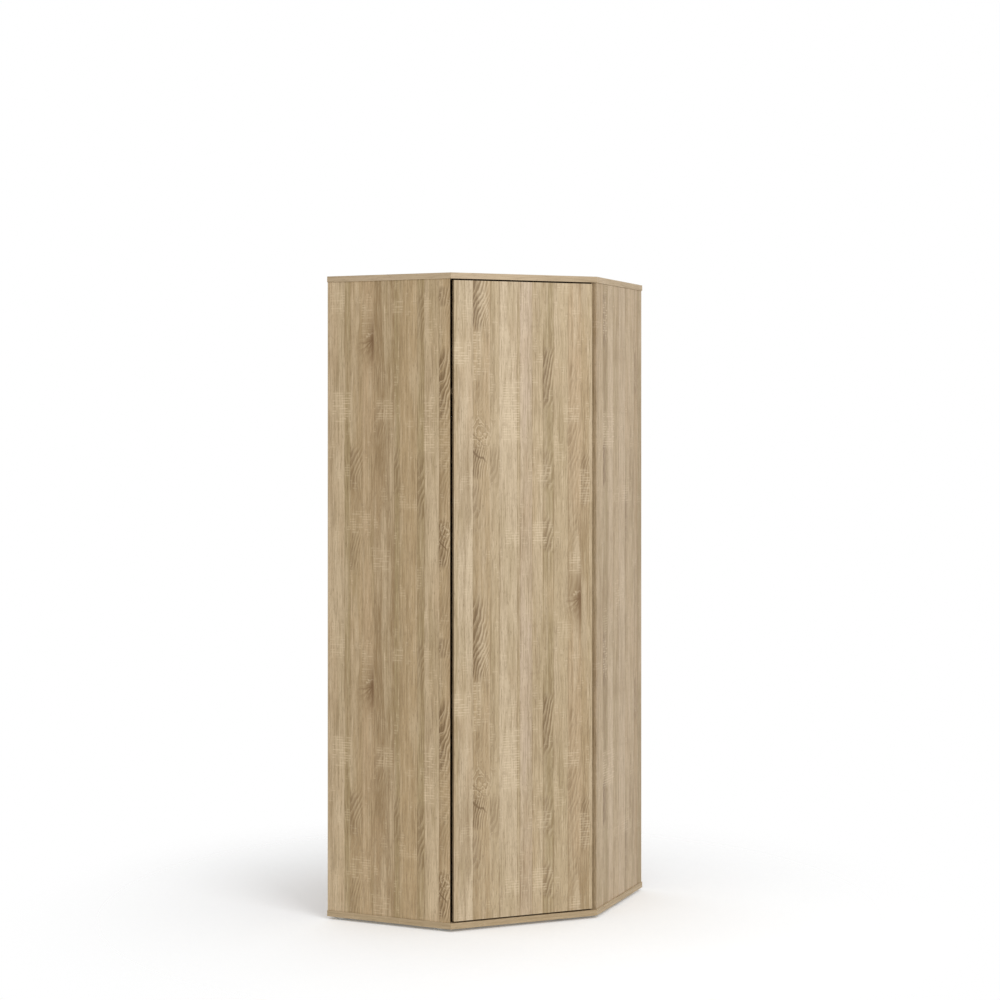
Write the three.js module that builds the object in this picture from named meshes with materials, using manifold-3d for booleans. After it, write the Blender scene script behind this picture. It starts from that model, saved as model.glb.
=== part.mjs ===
// Corner wardrobe with one door across its cut corner.
// Millimetres, +Z up. The origin is on the floor, at the middle of the square that the two wall sides span.
// The walls are at -X (left) and +Y (right). The door faces between +X and -Y.
import * as THREE from "three";
import { mergeVertices } from "three/addons/utils/BufferGeometryUtils.js";
import Module from "manifold-3d";

const wasm = await Module();
wasm.setup();

// Driving sizes
const HEIGHT = 2000; // floor to top
const WALL_SIDE = 767; // each side along a wall
const SIDE_DEPTH = 424; // from a wall to the cut corner
const BOARD = 18; // carcass board
const DOOR_BOARD = 16;
const BACK_BOARD = 3; // fibreboard
const OVERHANG = 3; // of the top and bottom panels over the outer faces of the side panels
const SEAT = 0.3; // clearance of a piece to the piece that carries it
const FIT = 0.15; // radial clearance of a plug, cam or pin in its hole
const OVERRUN = 2; // how far a cutter runs past a face

const door = {
  latchGap: 10.5, // from the cut corner's end to the opening edge
  hingeGap: 16, // from the cut corner's end to the hinge edge
  endGap: 5, // above and below
};
const glide = {
  height: 9,
  radius: 30,
  rimRound: 5,
  inset: 40, // from both outer faces of the corner that it stands under
  spigotRadius: 4,
  spigotLength: 11,
};
// How far the side panels' front ends stay behind the cut corner's ends
const panelEnd = { latchSetback: 4, hingeSetback: 5 };
const stile = { width: 80 };
const shelf = {
  belowTop: 350, // from the wardrobe's top to the shelf's upper face
  frontSetback: 45, // behind the door's front face
  endRoom: 0.3, // from its ends to the shelf pegs' collars
};
const peg = {
  radius: 2.5,
  depth: 9,
  collarRadius: 5.5,
  collar: 1.5,
  noseRadius: 3.5,
  nose: 9,
  frontInset: 95, // from the side panel's front tip
  rearInset: 60, // from its wall edge
};
const cam = {
  radius: 7.5,
  depth: 12.5,
  toJoint: 24, // from the cam's centre to the end of the side panel
  frontInset: 70,
  rearInset: 50,
  driveLength: 10,
  driveWidth: 2,
  driveDepth: 2.5,
  slotWidth: 7.8,
};
const bolt = {
  threadRadius: 3,
  threadLength: 11,
  collarRadius: 3.6,
  collar: 2.5,
  shankRadius: 2.6,
  neckRadius: 1.9,
  neck: 4,
  headRadius: 3.3,
  head: 4.5,
  holeRadius: 4,
};
const cup = {
  boreRadius: 17.5,
  boreDepth: 12.5,
  edgeMargin: 5, // from the door's edge to the bore
  wall: 1.1,
  floor: 1.2,
  flange: 1.2,
  flangeRadius: 20,
  earRadius: 7,
  earSpread: 24, // from the cup's middle up and down to the screw holes
  earOffset: 6, // the screw holes lie further from the door's edge
  screwHoleRadius: 2.2,
};
const pivot = {
  inset: 14.5, // from the door's edge
  depth: 12.5, // behind the door's front face
  pinRadius: 2,
  pinLength: 26,
  eyeRadius: 4.2,
  lugWall: 1.6, // round the pin's hole in the cup
  sidePlay: 1, // between the arm and each lug
};
const arm = {
  width: 18, // up and down
  thickness: 3.5,
  clearance: 0.6, // added to the swing radius of the door's corner where the neck is laid out
  height: 14.5, // of the web's middle above the side panel
  rise: 31, // from the pivot to the straight part
  length: 60, // of the straight part
  wall: 1.5,
  taper: 12, // length over which the channel's walls rise
  screwHoleRadius: 2.6,
};
const plate = {
  base: 2,
  length: 56, // along the side panel
  blockWidth: 12,
  blockLength: 38,
  wingSpan: 58, // up and down
  wingWidth: 18,
  cornerRadius: 4,
  screwSpread: 16, // from the plate's middle up and down to the screw holes
  screwHoleRadius: 2.3,
};
const hinges = {
  endDistance: 110, // from the door's ends to the outer hinges
  count: 4,
};
const rail = {
  radius: 12.5,
  wall: 1.5,
  length: 760,
  depth: 330, // behind the door's front face
  drop: 60, // from the shelf's underside to the rail's axis
};
const hanger = {
  ringWall: 3,
  width: 14,
  stem: 4,
  endInset: 60, // from the rail's end
  flangeLength: 56,
  flange: 2.5,
  cornerRadius: 5,
  screwSpread: 20,
  screwHoleRadius: 2.2,
};
const latch = {
  fromEdge: 60, // from the door's opening edge
  bodyLength: 26,
  bodyDepth: 18,
  bodyHeight: 20,
  earLength: 12,
  ear: 2.5,
  screwHoleRadius: 2,
  strikeLength: 36,
  strikeHeight: 12,
  strike: 1.2,
  strikeBelowTop: 1, // from the door's upper edge
  airGap: 0.6,
  pole: 1.2, // thickness of the two steel poles
  poleSpread: 7, // between their middles
  poleReach: 1.5, // how far they stand out of the body
  cornerRadius: 2,
};

// Facets of round work
const FINE_SIDES = 24;
const MEDIUM_SIDES = 18;
const SMALL_SIDES = 8;
const ARC_STEPS = 3;
const NECK_STEPS = 14;

// Finishes
const oakColor = 0xc2ab86;
const linerColor = 0xd9cdb8;
const steelColor = 0xb9bcbf;
const zincColor = 0xa9a9a6;
const plasticColor = 0xd7d5d0;
const darkPlasticColor = 0x5c4a3b;
const finishes = {
  oak: { color: oakColor, roughness: 0.55, metalness: 0 },
  liner: { color: linerColor, roughness: 0.7, metalness: 0 },
  steel: { color: steelColor, roughness: 0.3, metalness: 1 },
  zinc: { color: zincColor, roughness: 0.45, metalness: 1 },
  plastic: { color: plasticColor, roughness: 0.5, metalness: 0 },
  darkPlastic: { color: darkPlasticColor, roughness: 0.5, metalness: 0 },
};

// Places that follow from the driving sizes
const half = WALL_SIDE / 2;
const diagonal = Math.SQRT1_2; // each share of a step along the cut corner
const frontWidth = (WALL_SIDE - SIDE_DEPTH) / diagonal;
const carcassLow = glide.height + BOARD; // upper face of the bottom panel
const carcassHigh = HEIGHT - BOARD; // underside of the top panel
const backPlane = half - BACK_BOARD; // inner face of the back panels
const panelMiddle = OVERHANG + BOARD / 2; // of a side panel, in from the top panel's edge
const panelInner = OVERHANG + BOARD; // its inner face
const doorLeft = door.latchGap;
const doorRight = frontWidth - door.hingeGap;
const doorLow = carcassLow + door.endGap;
const doorHigh = carcassHigh - door.endGap;
const cupCentre = doorRight - cup.edgeMargin - cup.boreRadius;
const pivotAcross = doorRight - pivot.inset;
const shelfHigh = HEIGHT - shelf.belowTop;
const shelfLow = shelfHigh - BOARD;
const shelfSideGap = SEAT + peg.collar + shelf.endRoom;

// A side is set out by its distance from the wall and its depth in from the top panel's edge.
const sides = [
  {
    name: "left",
    place: (fromWall, inward) => [-half + fromWall, -half + inward],
    inwardAngle: Math.PI / 2,
  },
  {
    name: "right",
    place: (fromWall, inward) => [half - inward, half - fromWall],
    inwardAngle: Math.PI,
  },
];

const wardrobe = new THREE.Group();
wardrobe.name = "corner_wardrobe";

// The door's own frame: +X runs across the cut corner from the left side to the right side,
// +Y into the wardrobe and +Z up.
const front = new THREE.Group();
front.position.set(-half + SIDE_DEPTH, -half, 0);
front.rotation.z = Math.PI / 4;
wardrobe.add(front);

// Place in the wardrobe of a point of the door's frame.
function fromFront(across, inward) {
  return [
    -half + SIDE_DEPTH + (across - inward) * diagonal,
    -half + (across + inward) * diagonal,
  ];
}

// Solids from geometries, and back
function solid(geometry) {
  const bare = geometry.clone();
  bare.deleteAttribute("normal");
  bare.deleteAttribute("uv");
  const merged = mergeVertices(bare);
  const shape = new wasm.Mesh({
    numProp: 3,
    vertProperties: merged.getAttribute("position").array,
    triVerts: new Uint32Array(merged.index.array),
  });
  return new wasm.Manifold(shape);
}

function geometryOf(body) {
  const shape = body.getMesh();
  const geometry = new THREE.BufferGeometry();
  geometry.setAttribute("position", new THREE.BufferAttribute(shape.vertProperties, 3));
  geometry.setIndex(new THREE.BufferAttribute(shape.triVerts, 1));
  geometry.computeVertexNormals();
  return geometry;
}

// Cuts each of the tool geometries out of a geometry.
function cut(geometry, tools) {
  let body = solid(geometry);
  for (const tool of tools) body = body.subtract(solid(tool));
  return geometryOf(body);
}

function join(geometries) {
  let body = solid(geometries[0]);
  for (const geometry of geometries.slice(1)) body = body.add(solid(geometry));
  return geometryOf(body);
}

function addMesh(name, geometry, finish, parent = wardrobe) {
  const mesh = new THREE.Mesh(geometry, new THREE.MeshStandardMaterial(finishes[finish]));
  mesh.name = name;
  parent.add(mesh);
  return mesh;
}

// Basic forms
function outline(points) {
  return new THREE.Shape(points.map(([x, y]) => new THREE.Vector2(x, y)));
}

function extrude(shape, depth, low = 0, curveSegments = FINE_SIDES) {
  const options = { depth, bevelEnabled: false, curveSegments };
  return new THREE.ExtrudeGeometry(shape, options).translate(0, 0, low);
}

// An upright board of a given plan.
function board(points, low, high) {
  return extrude(outline(points), high - low, low);
}

function cylinder(radius, length, sides) {
  return new THREE.CylinderGeometry(radius, radius, length, sides).rotateX(Math.PI / 2);
}

// A cutter for a hole whose flats still clear a round piece of the given radius.
function bore(radius, length, sides) {
  return cylinder(radius / Math.cos(Math.PI / sides), length, sides);
}

// A turned body about Z, from a profile of radius and height that starts and ends on the axis.
function turned(profile, sides) {
  const points = profile.map(([radius, height]) => new THREE.Vector2(radius, height));
  return new THREE.LatheGeometry(points, sides).rotateX(Math.PI / 2);
}

function roundedRectangle(width, height, radius) {
  const shape = new THREE.Shape();
  const x = width / 2 - radius;
  const y = height / 2 - radius;
  shape.absarc(x, y, radius, 0, Math.PI / 2);
  shape.absarc(-x, y, radius, Math.PI / 2, Math.PI);
  shape.absarc(-x, -y, radius, Math.PI, Math.PI * 1.5);
  shape.absarc(x, -y, radius, Math.PI * 1.5, Math.PI * 2);
  return shape;
}

function block(width, depth, height) {
  return new THREE.BoxGeometry(width, depth, height);
}

// Turns a geometry made along Z so that it runs along a level direction.
function layAlong(geometry, angle) {
  return geometry.rotateY(Math.PI / 2).rotateZ(angle);
}

// Top and bottom panels
const plan = [
  [-half, -half],
  [-half + SIDE_DEPTH, -half],
  [half, half - SIDE_DEPTH],
  [half, half],
  [-half, half],
];

function boltPlaces() {
  const distances = [cam.rearInset, SIDE_DEPTH - cam.frontInset];
  return sides.flatMap((side) =>
    distances.map((distance, i) => ({ side, distance, row: i === 0 ? "rear" : "front" })),
  );
}

function glidePlaces() {
  const near = glide.inset;
  const places = sides.flatMap((side) => [
    { name: `glide_${side.name}_rear`, at: side.place(near, near) },
    { name: `glide_${side.name}_front`, at: side.place(SIDE_DEPTH - near, near) },
  ]);
  places.push({ name: "glide_rear_corner", at: [-half + near, half - near] });
  return places;
}

// Pilot holes for the connecting bolts, opening on the joint's plane.
function boltPilots(jointHeight, towards) {
  const radius = bolt.threadRadius + FIT;
  const depth = bolt.threadLength + SEAT;
  return boltPlaces().map(({ side, distance }) => {
    const [x, y] = side.place(distance, panelMiddle);
    const middle = jointHeight + (towards * (depth - OVERRUN)) / 2;
    return bore(radius, depth + OVERRUN, SMALL_SIDES).translate(x, y, middle);
  });
}

function spigotHoles() {
  const radius = glide.spigotRadius + FIT;
  const depth = glide.spigotLength + SEAT;
  return glidePlaces().map(({ at: [x, y] }) => {
    const middle = glide.height + (depth - OVERRUN) / 2;
    return bore(radius, depth + OVERRUN, SMALL_SIDES).translate(x, y, middle);
  });
}

function makeTopPanel() {
  const panel = board(plan, carcassHigh, HEIGHT);
  addMesh("top_panel", cut(panel, boltPilots(carcassHigh, 1)), "oak");
}

function makeBottomPanel() {
  const panel = board(plan, glide.height, carcassLow);
  const holes = [...boltPilots(carcassLow, -1), ...spigotHoles()];
  addMesh("bottom_panel", cut(panel, holes), "oak");
}

// Glides
function makeGlides() {
  const { height, radius, rimRound, spigotRadius, spigotLength } = glide;
  const profile = [[0, 0]];
  for (let i = 0; i <= ARC_STEPS; i += 1) {
    const angle = (i / ARC_STEPS) * (Math.PI / 2);
    const x = radius - rimRound + rimRound * Math.sin(angle);
    profile.push([x, rimRound - rimRound * Math.cos(angle)]);
  }
  profile.push(
    [radius, height - SEAT],
    [spigotRadius, height - SEAT],
    [spigotRadius, height + spigotLength - spigotRadius / 2],
    [spigotRadius / 2, height + spigotLength],
    [0, height + spigotLength],
  );
  for (const { name, at } of glidePlaces()) {
    const body = turned(profile, MEDIUM_SIDES).translate(at[0], at[1], 0);
    addMesh(name, body, "plastic");
  }
}

// Side panels. The hinge side's front end is cut square. The latch side's is mitred, square to the door,
// so that fingers reach behind the door's edge.
function sideOutline(side) {
  const mitred = [
    [SIDE_DEPTH - panelEnd.latchSetback, OVERHANG],
    [SIDE_DEPTH - panelEnd.latchSetback, panelEnd.latchSetback],
    [SIDE_DEPTH - panelInner, panelInner],
  ];
  const square = [
    [SIDE_DEPTH - panelEnd.hingeSetback, OVERHANG],
    [SIDE_DEPTH - panelEnd.hingeSetback, panelInner],
  ];
  const frontEnd = side.name === "left" ? mitred : square;
  const corners = [[BACK_BOARD, OVERHANG], ...frontEnd, [BACK_BOARD, panelInner]];
  return corners.map(([fromWall, inward]) => side.place(fromWall, inward));
}

function pegPlaces(side) {
  return [
    { row: "rear", fromWall: peg.rearInset },
    { row: "front", fromWall: SIDE_DEPTH - peg.frontInset },
  ].map(({ row, fromWall }) => ({ row, at: side.place(fromWall, panelInner) }));
}

function pegHole([x, y], angle) {
  const length = peg.depth + SEAT + OVERRUN;
  const hole = bore(peg.radius + FIT, length, SMALL_SIDES);
  hole.translate(0, 0, length / 2 - peg.depth - SEAT);
  return layAlong(hole, angle).translate(x, y, pegHeight);
}

function camHoles(side, distance, centreHeight, towardsEnd) {
  const [x, y] = side.place(distance, panelInner);
  const depth = cam.depth + SEAT;
  const pocket = cylinder(cam.radius + FIT, depth + OVERRUN, MEDIUM_SIDES);
  pocket.translate(0, 0, (OVERRUN - depth) / 2);
  const [boltX, boltY] = side.place(distance, panelMiddle);
  const drillLength = cam.toJoint + OVERRUN;
  const drill = cylinder(bolt.holeRadius, drillLength, SMALL_SIDES);
  drill.translate(boltX, boltY, centreHeight + (towardsEnd * drillLength) / 2);
  return [layAlong(pocket, side.inwardAngle).translate(x, y, centreHeight), drill];
}

function makeSidePanel(side) {
  const panel = board(sideOutline(side), carcassLow, carcassHigh);
  const holes = pegPlaces(side).map(({ at }) => pegHole(at, side.inwardAngle));
  for (const place of boltPlaces().filter((item) => item.side === side)) {
    holes.push(...camHoles(side, place.distance, carcassHigh - cam.toJoint, 1));
    holes.push(...camHoles(side, place.distance, carcassLow + cam.toJoint, -1));
  }
  addMesh(`${side.name}_side_panel`, cut(panel, holes), "oak");
}

// Cam connectors
function makeCams(side) {
  const slotDepth = cam.depth - (BOARD / 2 - cam.slotWidth / 2);
  for (const { distance, row } of boltPlaces().filter((item) => item.side === side)) {
    for (const [level, towardsEnd] of [
      ["upper", 1],
      ["lower", -1],
    ]) {
      const joint = towardsEnd > 0 ? carcassHigh : carcassLow;
      const body = cylinder(cam.radius, cam.depth, MEDIUM_SIDES).translate(0, 0, -cam.depth / 2);
      const slotLength = cam.radius + OVERRUN + bolt.head;
      const slot = block(slotLength, cam.slotWidth, slotDepth + OVERRUN);
      slot.translate(
        (-towardsEnd * (cam.radius + OVERRUN - bolt.head)) / 2,
        0,
        -cam.depth + (slotDepth - OVERRUN) / 2,
      );
      const drive = [0, Math.PI / 2].map((turn) =>
        block(cam.driveLength, cam.driveWidth, cam.driveDepth * 2).rotateZ(turn + Math.PI / 4),
      );
      const geometry = layAlong(cut(body, [slot, ...drive]), side.inwardAngle);
      const [x, y] = side.place(distance, panelInner);
      geometry.translate(x, y, joint - towardsEnd * cam.toJoint);
      addMesh(`cam_${side.name}_${level}_${row}`, geometry, "zinc");
    }
  }
}

// A connecting bolt stands in the top or bottom panel, with its head in the cam.
function makeBolts(side) {
  const headLow = -cam.toJoint - bolt.head / 2;
  const neckLow = headLow + bolt.head;
  const profile = [
    [0, headLow],
    [bolt.headRadius, headLow],
    [bolt.headRadius, neckLow],
    [bolt.neckRadius, neckLow],
    [bolt.neckRadius, neckLow + bolt.neck],
    [bolt.shankRadius, neckLow + bolt.neck],
    [bolt.shankRadius, -bolt.collar - SEAT],
    [bolt.collarRadius, -bolt.collar - SEAT],
    [bolt.collarRadius, -SEAT],
    [bolt.threadRadius, -SEAT],
    [bolt.threadRadius, bolt.threadLength],
    [0, bolt.threadLength],
  ];
  for (const { distance, row } of boltPlaces().filter((item) => item.side === side)) {
    const [x, y] = side.place(distance, panelMiddle);
    const upper = turned(profile, SMALL_SIDES).translate(x, y, carcassHigh);
    const lower = turned(profile, SMALL_SIDES).rotateX(Math.PI).translate(x, y, carcassLow);
    addMesh(`cam_bolt_${side.name}_upper_${row}`, upper, "steel");
    addMesh(`cam_bolt_${side.name}_lower_${row}`, lower, "steel");
  }
}

// Rear corner stile: its face lies against the left back panel and its edge against the right one.
const stileFace = -backPlane + BOARD;
const pegHeight = shelfLow - SEAT - peg.noseRadius;
const stilePegAt = [stileFace, backPlane - stile.width / 2];

function makeStile() {
  const points = [
    [-backPlane, backPlane - stile.width],
    [stileFace, backPlane - stile.width],
    [stileFace, backPlane],
    [-backPlane, backPlane],
  ];
  const upright = board(points, carcassLow, carcassHigh);
  addMesh("rear_corner_stile", cut(upright, [pegHole(stilePegAt, 0)]), "oak");
}

// Back panels, between the top and bottom panels and nailed to the edges of the side panels and the stile
function makeBackPanels() {
  const outer = half - OVERHANG;
  const left = [
    [-half, -outer],
    [-backPlane, -outer],
    [-backPlane, half],
    [-half, half],
  ];
  const right = [
    [-backPlane, backPlane],
    [outer, backPlane],
    [outer, half],
    [-backPlane, half],
  ];
  addMesh("left_back_panel", board(left, carcassLow, carcassHigh), "liner");
  addMesh("right_back_panel", board(right, carcassLow, carcassHigh), "liner");
}

// Hat shelf, notched round the stile
function makeShelf() {
  const near = backPlane - shelfSideGap;
  const inside = half - panelInner - shelfSideGap;
  const cornerX = stileFace + shelfSideGap;
  const notchY = backPlane - stile.width - shelfSideGap;
  const frontSum = shelf.frontSetback / diagonal;
  const points = [
    [-near, -inside],
    [-half + SIDE_DEPTH + (half - inside) - frontSum, -inside],
    [inside, half - SIDE_DEPTH - (half - inside) + frontSum],
    [inside, near],
    [cornerX, near],
    [cornerX, notchY],
    [-near, notchY],
  ];
  addMesh("hat_shelf", board(points, shelfLow, shelfHigh), "oak");
}

function makePegs() {
  const profile = [
    [0, -peg.depth],
    [peg.radius, -peg.depth],
    [peg.radius, SEAT],
    [peg.collarRadius, SEAT],
    [peg.collarRadius, SEAT + peg.collar],
    [peg.noseRadius, SEAT + peg.collar],
    [peg.noseRadius, SEAT + peg.collar + peg.nose],
    [0, SEAT + peg.collar + peg.nose],
  ];
  const places = sides.flatMap((side) =>
    pegPlaces(side).map(({ row, at }) => ({
      name: `shelf_peg_${side.name}_${row}`,
      at,
      angle: side.inwardAngle,
    })),
  );
  places.push({ name: "shelf_peg_rear_corner", at: stilePegAt, angle: 0 });
  for (const { name, at, angle } of places) {
    const body = layAlong(turned(profile, SMALL_SIDES), angle);
    addMesh(name, body.translate(at[0], at[1], pegHeight), "steel");
  }
}

// Clothes rail, level across the wardrobe and parallel to the door
const railHeight = shelfLow - rail.drop;

function makeRail() {
  const ring = new THREE.Shape().absarc(0, 0, rail.radius, 0, Math.PI * 2);
  ring.holes.push(new THREE.Path().absarc(0, 0, rail.radius - rail.wall, 0, Math.PI * 2));
  const tube = extrude(ring, rail.length, -rail.length / 2, FINE_SIDES);
  layAlong(tube, 0).translate(frontWidth / 2, rail.depth, railHeight);
  addMesh("clothes_rail", tube, "steel", front);
}

// A hanger is a ring round the rail, on a stem under a flange that is screwed to the shelf.
function makeRailHangers() {
  const outer = rail.radius + SEAT + hanger.ringWall;
  const ring = new THREE.Shape().absarc(0, 0, outer, 0, Math.PI * 2);
  ring.holes.push(new THREE.Path().absarc(0, 0, rail.radius + SEAT, 0, Math.PI * 2));
  const loop = layAlong(extrude(ring, hanger.width, -hanger.width / 2, MEDIUM_SIDES), 0);
  const stemLow = outer - hanger.ringWall / 2;
  const stemHigh = rail.drop - SEAT - hanger.flange / 2;
  const stem = block(hanger.width, hanger.stem, stemHigh - stemLow);
  stem.translate(0, 0, (stemLow + stemHigh) / 2);
  const footShape = roundedRectangle(hanger.width, hanger.flangeLength, hanger.cornerRadius);
  const foot = extrude(footShape, hanger.flange, rail.drop - SEAT - hanger.flange, ARC_STEPS);
  const holes = [-1, 1].map((way) =>
    cylinder(hanger.screwHoleRadius, hanger.flange + OVERRUN * 2, SMALL_SIDES).translate(
      0,
      way * hanger.screwSpread,
      rail.drop - SEAT - hanger.flange / 2,
    ),
  );
  const form = cut(join([loop, stem, foot]), holes);
  const reach = rail.length / 2 - hanger.endInset;
  for (const [name, way] of [
    ["left", -1],
    ["right", 1],
  ]) {
    const body = form.clone().translate(frontWidth / 2 + way * reach, rail.depth, railHeight);
    addMesh(`rail_hanger_${name}`, body, "steel", front);
  }
}

// Door
function hingeHeights() {
  const low = doorLow + hinges.endDistance;
  const high = doorHigh - hinges.endDistance;
  const step = (high - low) / (hinges.count - 1);
  return Array.from({ length: hinges.count }, (_, i) => low + step * i);
}

function makeDoor() {
  const points = [
    [doorLeft, 0],
    [doorRight, 0],
    [doorRight, DOOR_BOARD],
    [doorLeft, DOOR_BOARD],
  ];
  const panel = board(points, doorLow, doorHigh);
  const bores = hingeHeights().map((height) => {
    const length = cup.boreDepth + OVERRUN;
    const hole = cylinder(cup.boreRadius, length, FINE_SIDES).rotateX(Math.PI / 2);
    return hole.translate(cupCentre, DOOR_BOARD - cup.boreDepth + length / 2, height);
  });
  addMesh("door_panel", cut(panel, bores), "oak", front);
}

// Concealed single-pivot hinges for a door that meets the side panel at 45 degrees.
// The cup lies in the door and holds the pin. The arm's curved neck turns on the pin, reaches out of
// the cup and round the door's edge, and its channel straddles the plate on the side panel.
const barrelRadius = cup.boreRadius - FIT;
const cavityRadius = barrelRadius - cup.wall;
const flangeTop = DOOR_BOARD + SEAT + cup.flange;

function makeCup(height) {
  const barrelLow = DOOR_BOARD - cup.boreDepth + SEAT;
  const barrel = cylinder(barrelRadius, flangeTop - barrelLow, FINE_SIDES);
  barrel.translate(0, 0, (flangeTop + barrelLow) / 2);
  const rim = cylinder(cup.flangeRadius, cup.flange, FINE_SIDES);
  rim.translate(0, 0, flangeTop - cup.flange / 2);
  const earShape = roundedRectangle(
    cup.earRadius * 2,
    (cup.earSpread + cup.earRadius) * 2,
    cup.earRadius,
  );
  const ears = extrude(earShape, cup.flange, flangeTop - cup.flange, ARC_STEPS);
  ears.translate(-cup.earOffset, 0, 0);
  const cavityLow = barrelLow + cup.floor;
  const opening = cylinder(cavityRadius, flangeTop - cavityLow + OVERRUN, FINE_SIDES);
  opening.translate(0, 0, (flangeTop + OVERRUN + cavityLow) / 2);
  const cavity = cut(opening, lugs());
  const screwHoles = [-1, 1].map((way) =>
    cylinder(cup.screwHoleRadius, cup.flange + OVERRUN * 2, SMALL_SIDES).translate(
      -cup.earOffset,
      way * cup.earSpread,
      flangeTop - cup.flange / 2,
    ),
  );
  const pinHole = bore(pivot.pinRadius + FIT, barrelRadius * 2 + OVERRUN, SMALL_SIDES);
  pinHole.rotateX(Math.PI / 2).translate(pivotAcross - cupCentre, 0, pivot.depth);
  const form = cut(join([barrel, rim, ears]), [cavity, ...screwHoles, pinHole]);
  // The form was made with the cup's mouth up; it is laid with its mouth into the wardrobe.
  return form.rotateX(-Math.PI / 2).translate(cupCentre, 0, height);
}

// The pin's ends sit in two lugs that fill the cup beside the arm.
function lugs() {
  const width = (pivot.pinRadius + pivot.lugWall) * 2;
  const inner = arm.width / 2 + pivot.sidePlay;
  const reach = barrelRadius - inner;
  return [-1, 1].map((way) =>
    block(width, reach, flangeTop * 2).translate(
      pivotAcross - cupCentre,
      way * (inner + reach / 2),
      0,
    ),
  );
}

function makePin(height) {
  const pin = cylinder(pivot.pinRadius, pivot.pinLength, SMALL_SIDES);
  return pin.translate(pivotAcross, pivot.depth, height);
}

// The right side panel's inner face, seen from the pivot
const [pivotX, pivotY] = fromFront(pivotAcross, pivot.depth);
const faceX = half - panelInner - pivotX;

// The neck's line in shares of its reach, from the pin out to the left and back to the channel
const neckShares = [
  [0, 0],
  [-0.5, -0.1],
  [-0.9, 0.12],
  [-1, 0.62],
  [-0.72, 1.25],
];

function armForm() {
  const cornerRadius = Math.hypot(pivot.inset, DOOR_BOARD - pivot.depth);
  const reach = cornerRadius + arm.thickness / 2 + arm.clearance;
  const webX = faceX - arm.height;
  const webStart = arm.rise;
  const webEnd = webStart + arm.length;
  const line = neckShares.map(([x, y]) => new THREE.Vector2(x * reach, y * reach));
  line.push(new THREE.Vector2(webX, webStart));
  const neck = ribbon(new THREE.SplineCurve(line), arm.thickness / 2);
  const neckBody = extrude(neck, arm.width, -arm.width / 2, ARC_STEPS);
  const web = block(arm.thickness, arm.length, arm.width);
  web.translate(webX, (webStart + webEnd) / 2, 0);
  const wallBottom = faceX - plate.base - SEAT * 2;
  const wallTop = webX - arm.thickness / 2;
  const wallShape = outline([
    [wallTop, webStart],
    [webX, webStart],
    [wallBottom, webStart + arm.taper],
    [wallBottom, webEnd],
    [wallTop, webEnd],
  ]);
  const walls = [-arm.width / 2, arm.width / 2 - arm.wall].map((low) =>
    extrude(wallShape, arm.wall, low, ARC_STEPS),
  );
  const eye = cylinder(pivot.eyeRadius, arm.width, MEDIUM_SIDES);
  const pinHole = bore(pivot.pinRadius + FIT, arm.width + OVERRUN * 2, SMALL_SIDES);
  const screwHole = cylinder(arm.screwHoleRadius, arm.thickness * 2, SMALL_SIDES);
  layAlong(screwHole, 0).translate(webX, plateMiddle, 0);
  return cut(join([neckBody, web, ...walls, eye]), [pinHole, screwHole]);
}

// A flat strip of even width along a curve.
function ribbon(curve, halfWidth) {
  const left = [];
  const right = [];
  for (let i = 0; i <= NECK_STEPS; i += 1) {
    const share = i / NECK_STEPS;
    const point = curve.getPointAt(share);
    const tangent = curve.getTangentAt(share);
    left.push([point.x - tangent.y * halfWidth, point.y + tangent.x * halfWidth]);
    right.push([point.x + tangent.y * halfWidth, point.y - tangent.x * halfWidth]);
  }
  return outline([...left, ...right.reverse()]);
}

const plateMiddle = arm.rise + arm.length - plate.length / 2;

function plateForm() {
  const baseX = faceX - SEAT;
  const layFlat = (shape) => layAlong(extrude(shape, plate.base, 0, ARC_STEPS), Math.PI);
  const spine = layFlat(roundedRectangle(plate.blockWidth, plate.length, plate.cornerRadius));
  const wings = layFlat(roundedRectangle(plate.wingSpan, plate.wingWidth, plate.cornerRadius));
  const blockHeight = arm.height - arm.thickness / 2 - SEAT * 2;
  const raised = block(blockHeight, plate.blockLength, plate.blockWidth - arm.wall);
  raised.translate(-blockHeight / 2, 0, 0);
  const holes = [-1, 1].map((way) => {
    const hole = layAlong(cylinder(plate.screwHoleRadius, plate.base + OVERRUN * 2, SMALL_SIDES), 0);
    return hole.translate(-plate.base / 2, 0, way * plate.screwSpread);
  });
  const screwHole = layAlong(cylinder(arm.screwHoleRadius, blockHeight, SMALL_SIDES), 0);
  screwHole.translate(-blockHeight, 0, 0);
  const form = cut(join([spine, wings, raised]), [...holes, screwHole]);
  return form.translate(baseX, plateMiddle, 0);
}

function makeHinges() {
  const armShape = armForm();
  const plateShape = plateForm();
  hingeHeights().forEach((height, i) => {
    const number = i + 1;
    addMesh(`hinge_cup_${number}`, makeCup(height), "zinc", front);
    addMesh(`hinge_pin_${number}`, makePin(height), "steel", front);
    const armBody = armShape.clone().translate(pivotX, pivotY, height);
    addMesh(`hinge_arm_${number}`, armBody, "zinc");
    const plateBody = plateShape.clone().translate(pivotX, pivotY, height);
    addMesh(`hinge_plate_${number}`, plateBody, "zinc");
  });
}

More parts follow.
